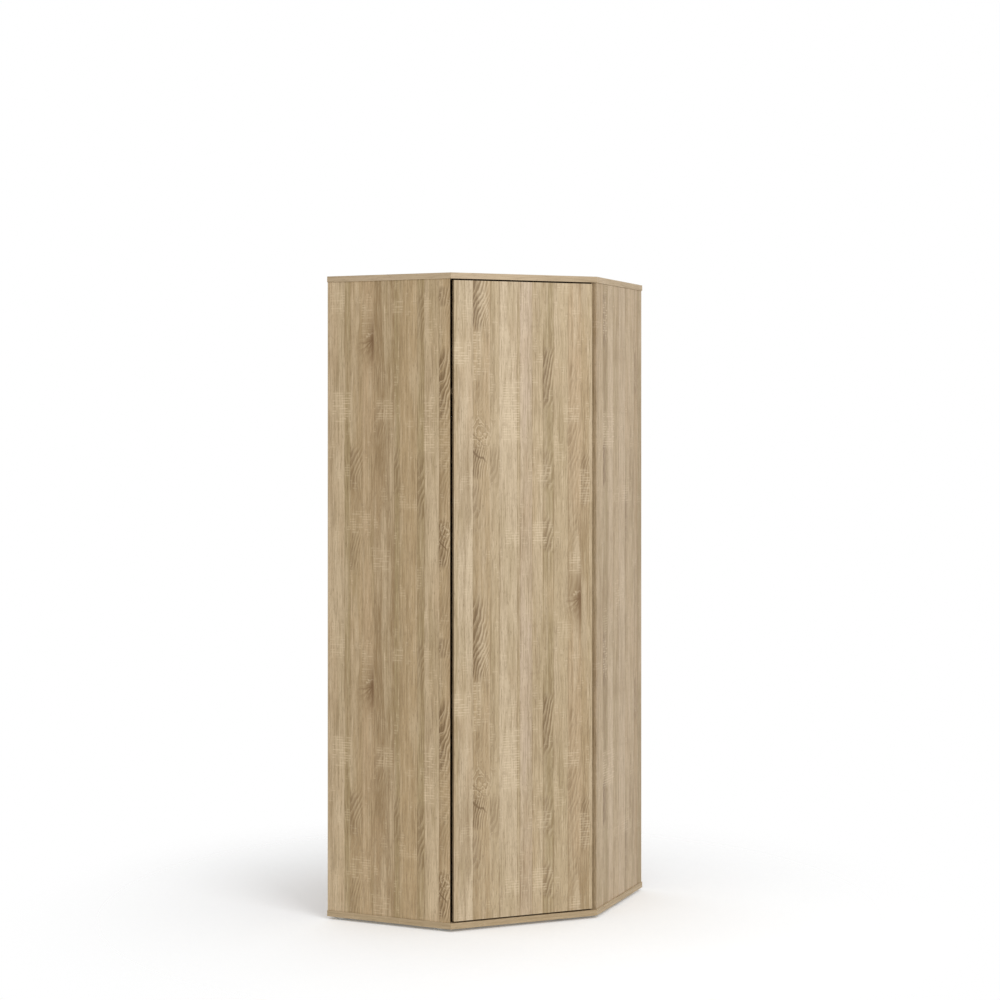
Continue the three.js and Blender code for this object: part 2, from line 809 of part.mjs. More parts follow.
// Magnetic catch under the top panel, and its strike plate on the door
function makeCatch() {
  const middle = doorLeft + latch.fromEdge;
  const strikeBack = DOOR_BOARD + SEAT + latch.strike;
  const bodyFront = strikeBack + latch.airGap + latch.poleReach;
  const seatHeight = carcassHigh - SEAT;
  const poleMiddle = doorHigh - latch.strikeBelowTop - latch.strikeHeight / 2;
  const body = block(latch.bodyLength, latch.bodyDepth, latch.bodyHeight);
  body.translate(0, bodyFront + latch.bodyDepth / 2, seatHeight - latch.bodyHeight / 2);
  const earsShape = roundedRectangle(
    latch.bodyLength + latch.earLength * 2,
    latch.bodyDepth / 2,
    latch.cornerRadius,
  );
  const ears = extrude(earsShape, latch.ear, seatHeight - latch.ear, ARC_STEPS);
  ears.translate(0, bodyFront + latch.bodyDepth / 2, 0);
  const poles = [-1, 1].map((way) => {
    const pole = block(latch.bodyLength / 2, latch.poleReach * 2, latch.pole);
    return pole.translate(0, bodyFront, poleMiddle + (way * latch.poleSpread) / 2);
  });
  const holes = [-1, 1].map((way) =>
    cylinder(latch.screwHoleRadius, latch.ear + OVERRUN * 2, SMALL_SIDES).translate(
      (way * (latch.bodyLength + latch.earLength)) / 2,
      bodyFront + latch.bodyDepth / 2,
      seatHeight - latch.ear / 2,
    ),
  );
  const form = cut(join([body, ears, ...poles]), holes);
  addMesh("door_catch", form.translate(middle, 0, 0), "darkPlastic", front);

  const strikeShape = roundedRectangle(latch.strikeLength, latch.strikeHeight, latch.cornerRadius);
  const strike = extrude(strikeShape, latch.strike, 0, ARC_STEPS).rotateX(Math.PI / 2);
  strike.translate(middle, strikeBack, poleMiddle);
  addMesh("strike_plate", strike, "steel", front);
}

makeTopPanel();
makeBottomPanel();
makeGlides();
for (const side of sides) {
  makeSidePanel(side);
  makeCams(side);
  makeBolts(side);
}
makeStile();
makeBackPanels();
makeShelf();
makePegs();
makeRail();
makeRailHangers();
makeDoor();
makeHinges();
makeCatch();

export default wardrobe;
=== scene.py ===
import math

import bmesh
import bpy
from mathutils import Matrix, Vector


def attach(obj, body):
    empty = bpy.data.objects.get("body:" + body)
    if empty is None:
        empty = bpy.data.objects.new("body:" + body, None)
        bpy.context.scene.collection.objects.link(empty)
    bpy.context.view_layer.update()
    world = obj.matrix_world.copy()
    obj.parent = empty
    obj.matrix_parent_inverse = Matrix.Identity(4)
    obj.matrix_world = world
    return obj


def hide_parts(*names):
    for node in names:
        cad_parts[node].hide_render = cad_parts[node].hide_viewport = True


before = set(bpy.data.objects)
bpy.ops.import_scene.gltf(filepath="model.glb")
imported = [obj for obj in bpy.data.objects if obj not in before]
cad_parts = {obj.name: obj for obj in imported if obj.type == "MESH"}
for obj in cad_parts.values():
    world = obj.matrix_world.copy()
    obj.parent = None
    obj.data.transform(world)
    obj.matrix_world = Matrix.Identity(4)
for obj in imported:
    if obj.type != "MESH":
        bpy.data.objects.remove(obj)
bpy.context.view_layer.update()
scene = bpy.context.scene
scene.view_settings.view_transform = "Standard"

# Sizes of the wardrobe, in metres
HALF = 0.3835  # half of a side along a wall
SIDE_DEPTH = 0.424
OVERHANG = 0.003  # of the top and bottom panels over the side panels
FRONT_WIDTH = (2 * HALF - SIDE_DEPTH) * math.sqrt(2)

# The printed decor repeats along its grain.
REPEAT = 1.068
ROLLER = REPEAT / math.tau

# Tints of the decor, from pale sapwood to dark figure
TINTS = {
    "straw": (0.470, 0.360, 0.218),
    "pale": (0.545, 0.430, 0.285),
    "mauve": (0.515, 0.400, 0.285),
    "rose": (0.458, 0.330, 0.194),
    "sand": (0.408, 0.294, 0.162),
    "olive": (0.338, 0.252, 0.130),
    "brown": (0.288, 0.196, 0.098),
    "dark": (0.235, 0.158, 0.074),
}
FLAME_DARK = (0.165, 0.102, 0.046)
KNOT_DARK = (0.160, 0.088, 0.036)
PORE_DARK = (0.185, 0.124, 0.062)
SAW_PALE = (0.690, 0.560, 0.385)
EDGE_PALE = (0.500, 0.396, 0.262)
EDGE_CAST = (0.91, 0.885, 0.84)  # edge strips are printed a little darker than the boards

# Steps of the decor's figure along the grain, each a whole number to the repeat
FLAME_STEP = REPEAT / 26
SAW_STEP = REPEAT / 134

# How the figure runs
KNOT_PUSH = 0.55  # how far a knot pushes the grain aside, as a share of its size
SWAY = 0.012  # how far the grain wanders across
STAVE_JUMP = 5.0  # how far apart in the tree neighbouring staves were cut
FLAME_SLOPES = (1.7, 3.8)  # rise of the flames along the grain for each step across
FLAME_CURVE = 24.0  # how much steeper they grow across the stave
FLAME_WANDER = 3.0
FEATHERS = 4.0  # fine strokes to each step of the flames
SAW_FADE = 0.004  # soft border of a patch of saw marks
SEAM_WIDTH = 0.0050

# Slow drifts of colour along a stave: scale across and along, offset, upper end, greatest share and tint
DRIFTS = (
    (20.0, 2.4, 3.0, 0.68, 0.55, "brown"),
    (12.0, 2.8, 11.0, 0.70, 0.55, "rose"),
    (18.0, 2.6, 23.0, 0.68, 0.45, "olive"),
    (26.0, 2.4, 31.0, 0.68, 0.60, "pale"),
)

# Hooks below a swirl: how far below it in shares of its size, thickness and strength
HOOKS = ((0.2, 0.0034, 0.45), (1.4, 0.0060, 0.80))
HOOK_FALL = 0.8


class Graph:
    """A material's nodes, made and linked one after the other."""

    def __init__(self, name):
        self.material = bpy.data.materials.new(name)
        self.material.use_nodes = True
        self.tree = self.material.node_tree
        self.tree.nodes.clear()

    def node(self, kind, **settings):
        made = self.tree.nodes.new(kind)
        for key, value in settings.items():
            setattr(made, key, value)
        return made

    def feed(self, socket, value):
        if isinstance(value, bpy.types.NodeSocket):
            self.tree.links.new(value, socket)
        elif value is not None:
            socket.default_value = value

    def math(self, operation, a, b=None, c=None):
        made = self.node("ShaderNodeMath", operation=operation)
        for socket, value in zip(made.inputs, (a, b, c)):
            self.feed(socket, value)
        return made.outputs[0]

    def product(self, *parts):
        whole = parts[0]
        for part in parts[1:]:
            whole = self.math("MULTIPLY", whole, part)
        return whole

    def most(self, parts):
        """The greatest of some values."""
        whole = parts[0]
        for part in parts[1:]:
            whole = self.math("MAXIMUM", whole, part)
        return whole

    def apart(self, value, middle):
        return self.math("ABSOLUTE", self.math("SUBTRACT", value, middle))

    def squares(self, x, y):
        return self.math("ADD", self.product(x, x), self.product(y, y))

    def bell(self, spread, steepness):
        """1 where the spread is 0, and less where it is more."""
        return self.math("POWER", math.e, self.math("MULTIPLY", spread, -steepness))

    def vector(self, x, y, z):
        made = self.node("ShaderNodeCombineXYZ")
        for socket, value in zip(made.inputs, (x, y, z)):
            self.feed(socket, value)
        return made.outputs[0]

    def split(self, vector):
        made = self.node("ShaderNodeSeparateXYZ")
        self.feed(made.inputs[0], vector)
        return made.outputs

    def smooth(self, value, low, high, out_low=0.0, out_high=1.0):
        made = self.node("ShaderNodeMapRange", interpolation_type="SMOOTHSTEP")
        for socket, item in zip(made.inputs, (value, low, high, out_low, out_high)):
            self.feed(socket, item)
        return made.outputs[0]

    def swap(self, share, a, b):
        """a where share is 0 and b where it is 1."""
        made = self.node("ShaderNodeMix", data_type="FLOAT")
        for socket, value in zip(made.inputs[:1] + made.inputs[2:4], (share, a, b)):
            self.feed(socket, value)
        return made.outputs[0]

    def noise(self, vector, scale=1.0, detail=3.0, roughness=0.55, distortion=0.0):
        made = self.node("ShaderNodeTexNoise", noise_dimensions="3D")
        self.feed(made.inputs["Vector"], vector)
        made.inputs["Scale"].default_value = scale
        made.inputs["Detail"].default_value = detail
        made.inputs["Roughness"].default_value = roughness
        made.inputs["Distortion"].default_value = distortion
        return made.outputs[0]

    def blend(self, share, a, b, mode="MIX"):
        made = self.node("ShaderNodeMix", data_type="RGBA", blend_type=mode)
        self.feed(made.inputs[0], share)
        for socket, value in zip((made.inputs[6], made.inputs[7]), (a, b)):
            if isinstance(value, tuple) and len(value) == 3:
                value = (*value, 1.0)
            self.feed(socket, value)
        return made.outputs[2]

    def finish(self, color, roughness, bump=None, **settings):
        shader = self.node("ShaderNodeBsdfPrincipled")
        if isinstance(color, tuple):
            color = (*color, 1.0)
        self.feed(shader.inputs["Base Color"], color)
        self.feed(shader.inputs["Roughness"], roughness)
        for key, value in settings.items():
            shader.inputs[key.replace("_", " ")].default_value = value
        if bump is not None:
            height, strength, distance = bump
            relief = self.node("ShaderNodeBump")
            relief.inputs["Strength"].default_value = strength
            relief.inputs["Distance"].default_value = distance
            self.feed(relief.inputs["Height"], height)
            self.tree.links.new(relief.outputs[0], shader.inputs["Normal"])
        output = self.node("ShaderNodeOutputMaterial")
        self.tree.links.new(shader.outputs[0], output.inputs[0])
        return self.material


class Decor:
    """A board's printed decor.

    staves: where each begins across the board, its tint, and how much flame figure strays over it.
    flames: the stave's start, the middle along the grain, half the length, and the strength.
    knots: the stave edge that cuts it, the place along the grain, and the size.
    swirls: the stave's start, the place along the grain, and the size.
    saws: patches of saw marks, from and to across, from and to along, and the strength.
    cast: a painted shift of the board's colour, lighter or darker, that stands in for the light falling on
    its side.
    """

    def __init__(self, width, staves, flames=(), knots=(), swirls=(), saws=(), seed=0.0, cast=None):
        self.width = width
        self.staves = staves
        self.flames = flames
        self.knots = knots
        self.swirls = swirls
        self.saws = saws
        self.seed = seed
        self.cast = cast


LEFT = Decor(
    SIDE_DEPTH,
    [
        (0.000, "pale", 0.1), (0.058, "olive", 0.0), (0.078, "sand", 0.1), (0.122, "rose", 0.1),
        (0.161, "brown", 0.1), (0.231, "olive", 0.0), (0.249, "sand", 0.1), (0.309, "olive", 0.0),
        (0.333, "pale", 0.1), (0.383, "sand", 0.3),
    ],
    flames=[
        (0.383, 0.592, 0.105, 1.0), (0.383, 0.107, 0.070, 1.0), (0.383, 0.860, 0.030, 0.7),
        (0.078, 0.333, 0.065, 0.6), (0.078, 0.080, 0.060, 0.5), (0.231, 0.330, 0.070, 0.5),
        (0.309, 0.280, 0.100, 0.6), (0.309, 0.800, 0.070, 0.4), (0.161, 0.480, 0.050, 0.3),
    ],
    knots=[(0.161, 0.731, 0.026)],
    swirls=[(0.383, 0.150, 0.026)],
    saws=[
        (0.016, 0.082, 0.480, 0.570, 0.9), (0.170, 0.228, 0.490, 0.545, 0.7),
        (0.333, 0.368, 0.385, 0.560, 1.0), (0.385, 0.412, 0.330, 0.545, 0.6),
        (0.120, 0.158, 0.750, 0.840, 1.0), (0.085, 0.150, 0.130, 0.200, 0.6),
        (0.010, 0.060, 0.820, 0.880, 0.7), (0.225, 0.262, 0.815, 0.850, 0.7),
        (0.160, 0.215, 0.020, 0.085, 0.6),
    ],
    seed=0.0,
    # Painted light: the left side is made lighter and warmer for the light that falls on it.
    cast=(1.055, 1.03, 0.985),
)
DOOR = Decor(
    FRONT_WIDTH,
    [
        (0.000, "straw", 0.0), (0.022, "pale", 0.0), (0.071, "sand", 0.2), (0.128, "straw", 0.1),
        (0.156, "pale", 0.0), (0.216, "straw", 0.0), (0.225, "mauve", 0.0), (0.266, "straw", 0.1),
        (0.302, "olive", 0.1), (0.338, "straw", 0.1), (0.386, "rose", 0.2), (0.431, "sand", 0.1),
        (0.458, "straw", 0.1),
    ],
    flames=[
        (0.071, 0.880, 0.120, 1.0), (0.071, 0.360, 0.050, 0.9), (0.071, 0.235, 0.050, 0.5),
        (0.302, 0.615, 0.085, 0.9), (0.302, 0.130, 0.050, 0.7), (0.302, 0.330, 0.060, 0.5),
        (0.431, 0.300, 0.080, 0.6), (0.128, 0.340, 0.060, 0.4), (0.386, 0.420, 0.090, 0.4),
    ],
    knots=[(0.431, 1.000, 0.026)],
    swirls=[(0.071, 0.448, 0.040)],
    saws=[
        (0.012, 0.066, 0.655, 0.720, 1.0), (0.072, 0.096, 0.607, 0.751, 0.9),
        (0.170, 0.224, 0.425, 0.602, 1.0), (0.178, 0.222, 0.105, 0.150, 0.9),
        (0.372, 0.424, 0.480, 0.530, 0.8), (0.282, 0.330, 0.290, 0.345, 0.8),
        (0.268, 0.315, 0.095, 0.170, 0.9), (0.425, 0.462, 0.230, 0.330, 0.7),
        (0.350, 0.400, 0.880, 0.930, 0.6), (0.390, 0.430, 0.010, 0.075, 1.0),
        (0.020, 0.060, 0.030, 0.070, 0.7),
    ],
    seed=7.0,
)
RIGHT = Decor(
    SIDE_DEPTH,
    [
        (0.000, "straw", 0.0), (0.062, "olive", 0.1), (0.104, "pale", 0.1), (0.150, "straw", 0.0),
        (0.205, "pale", 0.1), (0.265, "straw", 0.1), (0.350, "sand", 0.1), (0.385, "olive", 0.0),
    ],
    flames=[
        (0.062, 0.350, 0.070, 1.0), (0.062, 0.800, 0.080, 0.8), (0.265, 0.180, 0.080, 0.6),
        (0.350, 0.640, 0.070, 0.5),
    ],
    saws=[
        (0.062, 0.165, 0.400, 0.505, 0.9), (0.180, 0.250, 0.960, 1.010, 0.7),
        (0.230, 0.300, 0.220, 0.270, 0.7), (0.062, 0.100, 0.760, 0.860, 0.9),
    ],
    seed=13.0,
    # Painted light: the right side is made darker for the light that falls on it.
    cast=(0.955, 0.935, 0.94),
)
INNER = Decor(
    2 * HALF,
    [
        (0.000, "straw", 0.1), (0.070, "sand", 0.7), (0.140, "pale", 0.1), (0.215, "rose", 0.1),
        (0.262, "sand", 0.5), (0.330, "olive", 0.1), (0.372, "straw", 0.2), (0.450, "pale", 0.1),
        (0.520, "brown", 0.7), (0.590, "sand", 0.1), (0.660, "straw", 0.3), (0.720, "mauve", 0.1),
    ],
    flames=[(0.262, 0.300, 0.090, 0.8), (0.520, 0.700, 0.080, 0.9)],
    knots=[(0.450, 0.520, 0.020)],
    saws=[
        (0.140, 0.200, 0.400, 0.550, 0.9), (0.372, 0.430, 0.150, 0.260, 0.8),
        (0.600, 0.650, 0.850, 0.960, 0.8),
    ],
    seed=19.0,
)


def stave_ramps(graph, across, decor):
    """The tint and the share of flame figure of the stave at a place across the board."""
    share = graph.math("DIVIDE", across, decor.width)
    ramps = []
    for pick in (lambda stave: TINTS[stave[1]], lambda stave: (stave[2],) * 3):
        ramp = graph.node("ShaderNodeValToRGB")
        ramp.color_ramp.interpolation = "CONSTANT"
        elements = ramp.color_ramp.elements
        elements.remove(elements[1])
        elements[0].position = 0.0
        elements[0].color = (*pick(decor.staves[0]), 1.0)
        for stave in decor.staves[1:]:
            made = elements.new(min(stave[0] / decor.width, 1.0))
            made.color = (*pick(stave), 1.0)
        graph.feed(ramp.inputs[0], share)
        ramps.append(ramp.outputs[0])
    return ramps


def stave_start(graph, across, decor):
    """Where the stave begins that a place lies in."""
    start = None
    for stave in decor.staves:
        step = graph.product(graph.math("GREATER_THAN", across, stave[0]), stave[0])
        start = step if start is None else graph.math("MAXIMUM", start, step)
    return start


def decor_place(graph, turn, shift, flat):
    """Place across and along the grain, and whether the face is level. The grain of an edge runs along it.

    turn and shift bring Object coordinates to X across the board and Z along its grain. A flat board
    lies level: its grain runs along X and its edges' grain round it.
    """
    place = graph.node("ShaderNodeTexCoord")
    if flat:
        x, y, z = graph.split(place.outputs["Object"])
        nx, ny, nz = graph.split(place.outputs["Normal"])
        level = graph.math("GREATER_THAN", graph.math("ABSOLUTE", nz), 0.5)
        tangent = graph.math("SUBTRACT", graph.product(y, nx), graph.product(x, ny))
        return graph.swap(level, z, graph.math("ADD", y, HALF)), graph.swap(level, tangent, x), level
    _, _, nz = graph.split(place.outputs["Normal"])
    level = graph.math("GREATER_THAN", graph.math("ABSOLUTE", nz), 0.5)
    mapping = graph.node("ShaderNodeMapping")
    mapping.inputs["Rotation"].default_value = turn
    mapping.inputs["Location"].default_value = shift
    graph.feed(mapping.inputs["Vector"], place.outputs["Object"])
    across, depth, along = graph.split(mapping.outputs[0])
    # Round the board's corner the figure goes on over the edge.
    wide = graph.math("ADD", across, depth)
    return graph.swap(level, wide, depth), graph.swap(level, along, across), level


class Sheet:
    """A printed sheet. Its noises lie round a roller, so that they repeat along the grain without a seam."""

    def __init__(self, graph, across, along, seed):
        self.graph = graph
        self.across = across
        self.along = along
        self.seed = seed
        angle = graph.math("DIVIDE", along, ROLLER)
        self.round_x = graph.product(graph.math("COSINE", angle), ROLLER)
        self.round_y = graph.product(graph.math("SINE", angle), ROLLER)
        self.wrapped = graph.math("FLOORED_MODULO", along, REPEAT)
        self.bent = across  # the place across as the grain has it

    def along_from(self, place):
        """Signed distance along the grain from the nearest repeat of a place."""
        way = self.graph.math("SUBTRACT", self.along, place)
        return self.graph.math("WRAP", way, REPEAT / 2, -REPEAT / 2)

    def noise(self, across_scale, along_scale, offset, **settings):
        graph = self.graph
        place = graph.vector(
            graph.math("ADD", graph.product(self.bent, across_scale), offset + self.seed),
            graph.product(self.round_x, along_scale),
            graph.product(self.round_y, along_scale),
        )
        return graph.noise(place, **settings)


def knots_in(sheet, decor):
    """Place in each knot's own measure, and the grain pushed aside by it."""
    graph = sheet.graph
    knots = []
    for edge, place, size in decor.knots:
        dx = graph.math("DIVIDE", graph.math("SUBTRACT", sheet.across, edge), size)
        dz = graph.math("DIVIDE", sheet.along_from(place), size)
        spread = graph.squares(dx, dz)
        before = graph.math("LESS_THAN", sheet.across, edge)
        push = graph.product(dx, graph.bell(spread, 0.35), before, size * KNOT_PUSH)
        sheet.bent = graph.math("SUBTRACT", sheet.bent, push)
        knots.append((dx, dz, spread, before))
    return knots


def grained(sheet, color, noise, dark, pale):
    """Darker where the noise is high and paler where it is low, each by low, high, share and tint."""
    for low, high, share, tint in (dark, pale):
        color = sheet.graph.blend(sheet.graph.smooth(noise, low, high, 0.0, share), color, tint)
    return color


def flame_figure(sheet, color, decor, start, local, stray):
    """Feathered strokes that rise from a stave's left edge and grow steeper across it."""
    graph = sheet.graph
    wander = sheet.noise(22.0, 9.0, 61.0, detail=2.0)
    slope = graph.smooth(sheet.noise(2.0, 5.0, 67.0, detail=0.0), 0.35, 0.65, *FLAME_SLOPES)
    climb = graph.math("ADD", graph.product(local, slope), graph.product(local, local, FLAME_CURVE))
    rise = graph.math("DIVIDE", graph.math("SUBTRACT", sheet.wrapped, climb), FLAME_STEP)
    phase = graph.math("ADD", rise, graph.product(wander, FLAME_WANDER))
    tooth = graph.math("FRACT", phase)
    thick = graph.smooth(local, 0.0, 0.045, 0.76, 0.38)
    arch = graph.product(
        graph.smooth(tooth, 0.0, 0.08),
        graph.smooth(tooth, thick, graph.product(thick, 0.6)),
    )
    line = graph.math("FRACT", graph.product(phase, FEATHERS))
    feather = graph.product(
        graph.smooth(line, 0.1, 0.45),
        graph.smooth(line, 0.95, 0.6),
        graph.smooth(local, 0.032, 0.010),
        0.75,
    )
    places = [
        graph.product(
            graph.math("COMPARE", start, edge, 0.001),
            graph.smooth(graph.math("ABSOLUTE", sheet.along_from(place)), half * 1.25, half * 0.75),
            strength,
        )
        for edge, place, half, strength in decor.flames
    ]
    cluster = graph.smooth(sheet.noise(7.0, 6.5, 71.0, detail=1.0), 0.46, 0.60)
    places.append(graph.product(cluster, stray))
    where = graph.most(places)
    reach = graph.smooth(local, 0.060, 0.008)
    ragged = graph.smooth(sheet.noise(240.0, 34.0, 83.0, detail=2.0), 0.32, 0.56, 0.45, 1.0)
    flame = graph.product(graph.math("MAXIMUM", arch, feather), where, reach, ragged)
    gleam = graph.product(graph.smooth(tooth, 0.80, 0.90), where, reach, 0.5)
    pale_line = graph.product(graph.smooth(tooth, 0.50, 0.70), graph.smooth(tooth, 1.0, 0.86))
    middle = graph.product(graph.smooth(local, 0.008, 0.022), graph.smooth(local, 0.062, 0.046))
    color = graph.blend(graph.product(where, reach, 0.42), color, TINTS["brown"])
    color = graph.blend(gleam, color, TINTS["pale"])
    color = graph.blend(graph.product(pale_line, middle, where, 0.32), color, SAW_PALE)
    return graph.blend(graph.product(flame, 0.90), color, FLAME_DARK)


def saw_marks(sheet, color, decor):
    """Patches of pale saw marks across the grain."""
    graph = sheet.graph
    stripe = graph.math("FRACT", graph.math("DIVIDE", sheet.wrapped, SAW_STEP))
    mark = graph.product(graph.smooth(stripe, 0.0, 0.25), graph.smooth(stripe, 0.72, 0.40))
    patches = [
        graph.product(
            graph.smooth(sheet.across, low - SAW_FADE, low + SAW_FADE),
            graph.smooth(sheet.across, high + SAW_FADE, high - SAW_FADE),
            graph.smooth(
                graph.math("ABSOLUTE", sheet.along_from((bottom + top) / 2)),
                (top - bottom) / 2 + SAW_FADE * 3,
                (top - bottom) / 2 - SAW_FADE * 1.5,
            ),
            strength,
        )
        for low, high, bottom, top, strength in decor.saws
    ]
    patches.append(graph.smooth(sheet.noise(24.0, 14.0, 103.0, detail=2.0), 0.60, 0.66, 0.0, 0.5))
    patch = graph.most(patches)
    row = graph.math("FLOOR", graph.math("DIVIDE", sheet.wrapped, SAW_STEP))
    row_place = graph.vector(
        graph.product(sheet.across, 36.0), graph.product(row, 3.7), 0.0
    )
    broken = graph.noise(row_place, detail=1.0)
    saw = graph.product(mark, patch, graph.smooth(broken, 0.40, 0.56))
    loose = graph.smooth(sheet.noise(330.0, 9.0, 113.0, detail=1.0), 0.46, 0.34)
    thread = graph.product(patch, loose, 0.6)
    color = graph.blend(graph.product(patch, 0.06), color, SAW_PALE)
    return graph.blend(graph.product(graph.math("MAXIMUM", saw, thread), 0.48), color, SAW_PALE)


def swirls_of_grain(sheet, color, decor, start, local):
    """Curled grain, and two dark hooks that fall from the stave's edge below each swirl."""
    graph = sheet.graph
    for edge, place, size in decor.swirls:
        dx = graph.math("DIVIDE", graph.math("SUBTRACT", sheet.across, edge + size * 0.6), size)
        dz = graph.math("DIVIDE", sheet.along_from(place), size * 1.5)
        curl = sheet.noise(26.0, 13.0, 127.0, detail=4.0, distortion=0.8)
        far = graph.math("ADD", graph.math("SQRT", graph.squares(dx, dz)), graph.product(curl, 2.6))
        round_it = graph.math("FRACT", graph.product(far, 2.7))
        inside = graph.product(graph.smooth(far, 2.5, 1.9), graph.math("GREATER_THAN", sheet.across, edge))
        dark = graph.product(inside, graph.smooth(round_it, 0.50, 0.80), 0.45)
        pale = graph.product(inside, graph.smooth(round_it, 0.40, 0.10), 0.40)
        color = graph.blend(dark, color, TINTS["dark"])
        color = graph.blend(pale, color, SAW_PALE)
        for drop, thickness, strength in HOOKS:
            fall = graph.product(local, HOOK_FALL)
            line = graph.math("ADD", sheet.along_from(place - size * drop), fall)
            bend = graph.product(graph.math("SUBTRACT", curl, 0.5), 0.045)
            line = graph.math("ADD", line, bend)
            hook = graph.product(
                graph.smooth(graph.math("ABSOLUTE", line), thickness, thickness * 0.3),
                graph.smooth(local, size * 1.3, size * 0.8),
                graph.math("COMPARE", start, edge, 0.001),
            )
            color = graph.blend(graph.product(hook, strength), color, FLAME_DARK)
    return color


def knot_figure(sheet, color, knots):
    """Knots in a warm column: a long dark heart, a fan below to the left and a pale bow above."""
    graph = sheet.graph
    for dx, dz, spread, before in knots:
        tall = graph.smooth(graph.math("ABSOLUTE", dz), 5.5, 0.8)
        column = graph.product(before, graph.smooth(dx, -2.6, -0.2), tall)
        color = graph.blend(graph.product(column, 0.62), color, TINTS["brown"])
        ring = graph.product(graph.bell(spread, 0.32), before)
        fan = graph.product(ring, graph.smooth(dz, 0.9, -0.3))
        turn = graph.product(graph.math("ARCTAN2", dz, dx), 5.0)
        rays = graph.noise(graph.vector(turn, graph.math("SQRT", spread), 0.0), detail=2.0)
        color = graph.blend(graph.product(ring, 0.36), color, TINTS["dark"])
        color = graph.blend(graph.product(fan, graph.smooth(rays, 0.47, 0.58), 0.60), color, KNOT_DARK)
        color = graph.blend(graph.product(fan, graph.smooth(rays, 0.46, 0.34), 0.30), color, SAW_PALE)
        wide = graph.math("ADD", graph.product(dx, dx, 0.6), graph.product(dz, dz))
        uneven = graph.product(graph.math("SUBTRACT", rays, 0.5), 1.2)
        radius = graph.math("ADD", graph.math("SQRT", wide), uneven)
        bow = graph.smooth(graph.apart(radius, 0.80), 0.17, 0.05)
        color = graph.blend(graph.product(bow, graph.smooth(dz, 0.1, 0.5), before, 0.50), color, SAW_PALE)
        lower = graph.math("ADD", dz, 0.20)
        long = graph.math("ADD", graph.product(dx, dx, 4.0), graph.product(lower, lower, 0.15))
        smudge = graph.product(graph.bell(long, 1.0), before)
        color = graph.blend(graph.product(smudge, 0.80), color, KNOT_DARK)
        heart = graph.product(graph.bell(spread, 3.5), before)
        color = graph.blend(graph.product(heart, 0.90), color, KNOT_DARK)
    return color


def oak_decor(name, turn, shift, decor, flat=False):
    """Printed light oak in staves."""
    graph = Graph(name)
    across, along, level = decor_place(graph, turn, shift, flat)
    sheet = Sheet(graph, across, along, decor.seed)
    knots = knots_in(sheet, decor)
    start = stave_start(graph, across, decor)
    local = graph.math("SUBTRACT", across, start)
    sway = graph.math("SUBTRACT", sheet.noise(9.0, 2.4, 131.0, detail=2.0), 0.5)
    sheet.bent = graph.math("ADD", sheet.bent, graph.product(sway, SWAY))
    sheet.bent = graph.math("ADD", sheet.bent, graph.product(start, STAVE_JUMP))
    color, stray = stave_ramps(graph, across, decor)
    for across_scale, along_scale, offset, high, share, tint in DRIFTS:
        drift = sheet.noise(across_scale, along_scale, offset, detail=2.0)
        color = graph.blend(graph.smooth(drift, 0.50, high, 0.0, share), color, TINTS[tint])

    # Long streaks, shorter strokes and fine fibres
    dark, pale = TINTS["dark"], TINTS["pale"]
    streak = sheet.noise(90.0, 1.8, 41.0, detail=5.0, roughness=0.70)
    color = grained(sheet, color, streak, (0.50, 0.70, 0.54, dark), (0.50, 0.30, 0.54, pale))
    stroke = sheet.noise(340.0, 7.0, 47.0, detail=3.0, roughness=0.6)
    color = grained(sheet, color, stroke, (0.52, 0.70, 0.42, dark), (0.48, 0.30, 0.36, pale))
    fibre = sheet.noise(760.0, 16.0, 53.0, detail=2.0, roughness=0.6)
    color = grained(sheet, color, fibre, (0.50, 0.72, 0.55, PORE_DARK), (0.48, 0.28, 0.42, SAW_PALE))
    color = flame_figure(sheet, color, decor, start, local, stray)

    # Dark joints at some stretches of a stave's edge
    joint = graph.smooth(sheet.noise(1.0, 9.0, 89.0, detail=1.0), 0.46, 0.60)
    seam = graph.product(graph.smooth(local, SEAM_WIDTH, SEAM_WIDTH * 0.2), joint)
    color = graph.blend(graph.product(seam, 0.55), color, dark)

    pore = sheet.noise(900.0, 60.0, 97.0, detail=1.0)
    color = graph.blend(graph.smooth(pore, 0.60, 0.72, 0.0, 0.60), color, PORE_DARK)
    color = saw_marks(sheet, color, decor)
    color = swirls_of_grain(sheet, color, decor, start, local)
    color = knot_figure(sheet, color, knots)
    # Painted light: a side board's colour is shifted lighter or darker for the light on its side.
    if decor.cast:
        color = graph.blend(1.0, color, decor.cast, mode="MULTIPLY")
    if flat:
        edge = graph.math("SUBTRACT", 1.0, level)
        color = graph.blend(graph.product(edge, 0.30), color, EDGE_PALE)
        color = graph.blend(edge, color, EDGE_CAST, mode="MULTIPLY")
    relief = graph.math("ADD", graph.product(pore, -0.6), graph.product(fibre, -0.4))
    rough = graph.smooth(fibre, 0.3, 0.7, 0.44, 0.56)
    return graph.finish(color, rough, bump=(relief, 0.25, 0.0004), Specular_IOR_Level=0.35)


def dress(node, material):
    """Gives a CAD node its finish."""
    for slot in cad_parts[node].material_slots:
        slot.material = material


QUARTER = math.pi / 2
EIGHTH = math.pi / 4
FRONT_START = Vector((SIDE_DEPTH - HALF, -HALF, 0))  # where the cut corner begins
shift_to_front = -(Matrix.Rotation(-EIGHTH, 3, "Z") @ FRONT_START)
left_decor = oak_decor("left_side_decor", (0, 0, 0), (HALF, HALF - OVERHANG, 0), LEFT)
door_decor = oak_decor("door_decor", (0, 0, -EIGHTH), tuple(shift_to_front), DOOR)
right_shift = (SIDE_DEPTH - HALF, HALF - OVERHANG, 0)
right_decor = oak_decor("right_side_decor", (0, 0, -QUARTER), right_shift, RIGHT)
flat_decor = oak_decor("flat_board_decor", None, None, INNER, flat=True)
stile_decor = oak_decor("stile_decor", (0, 0, 0), (HALF, 0, 0), INNER)


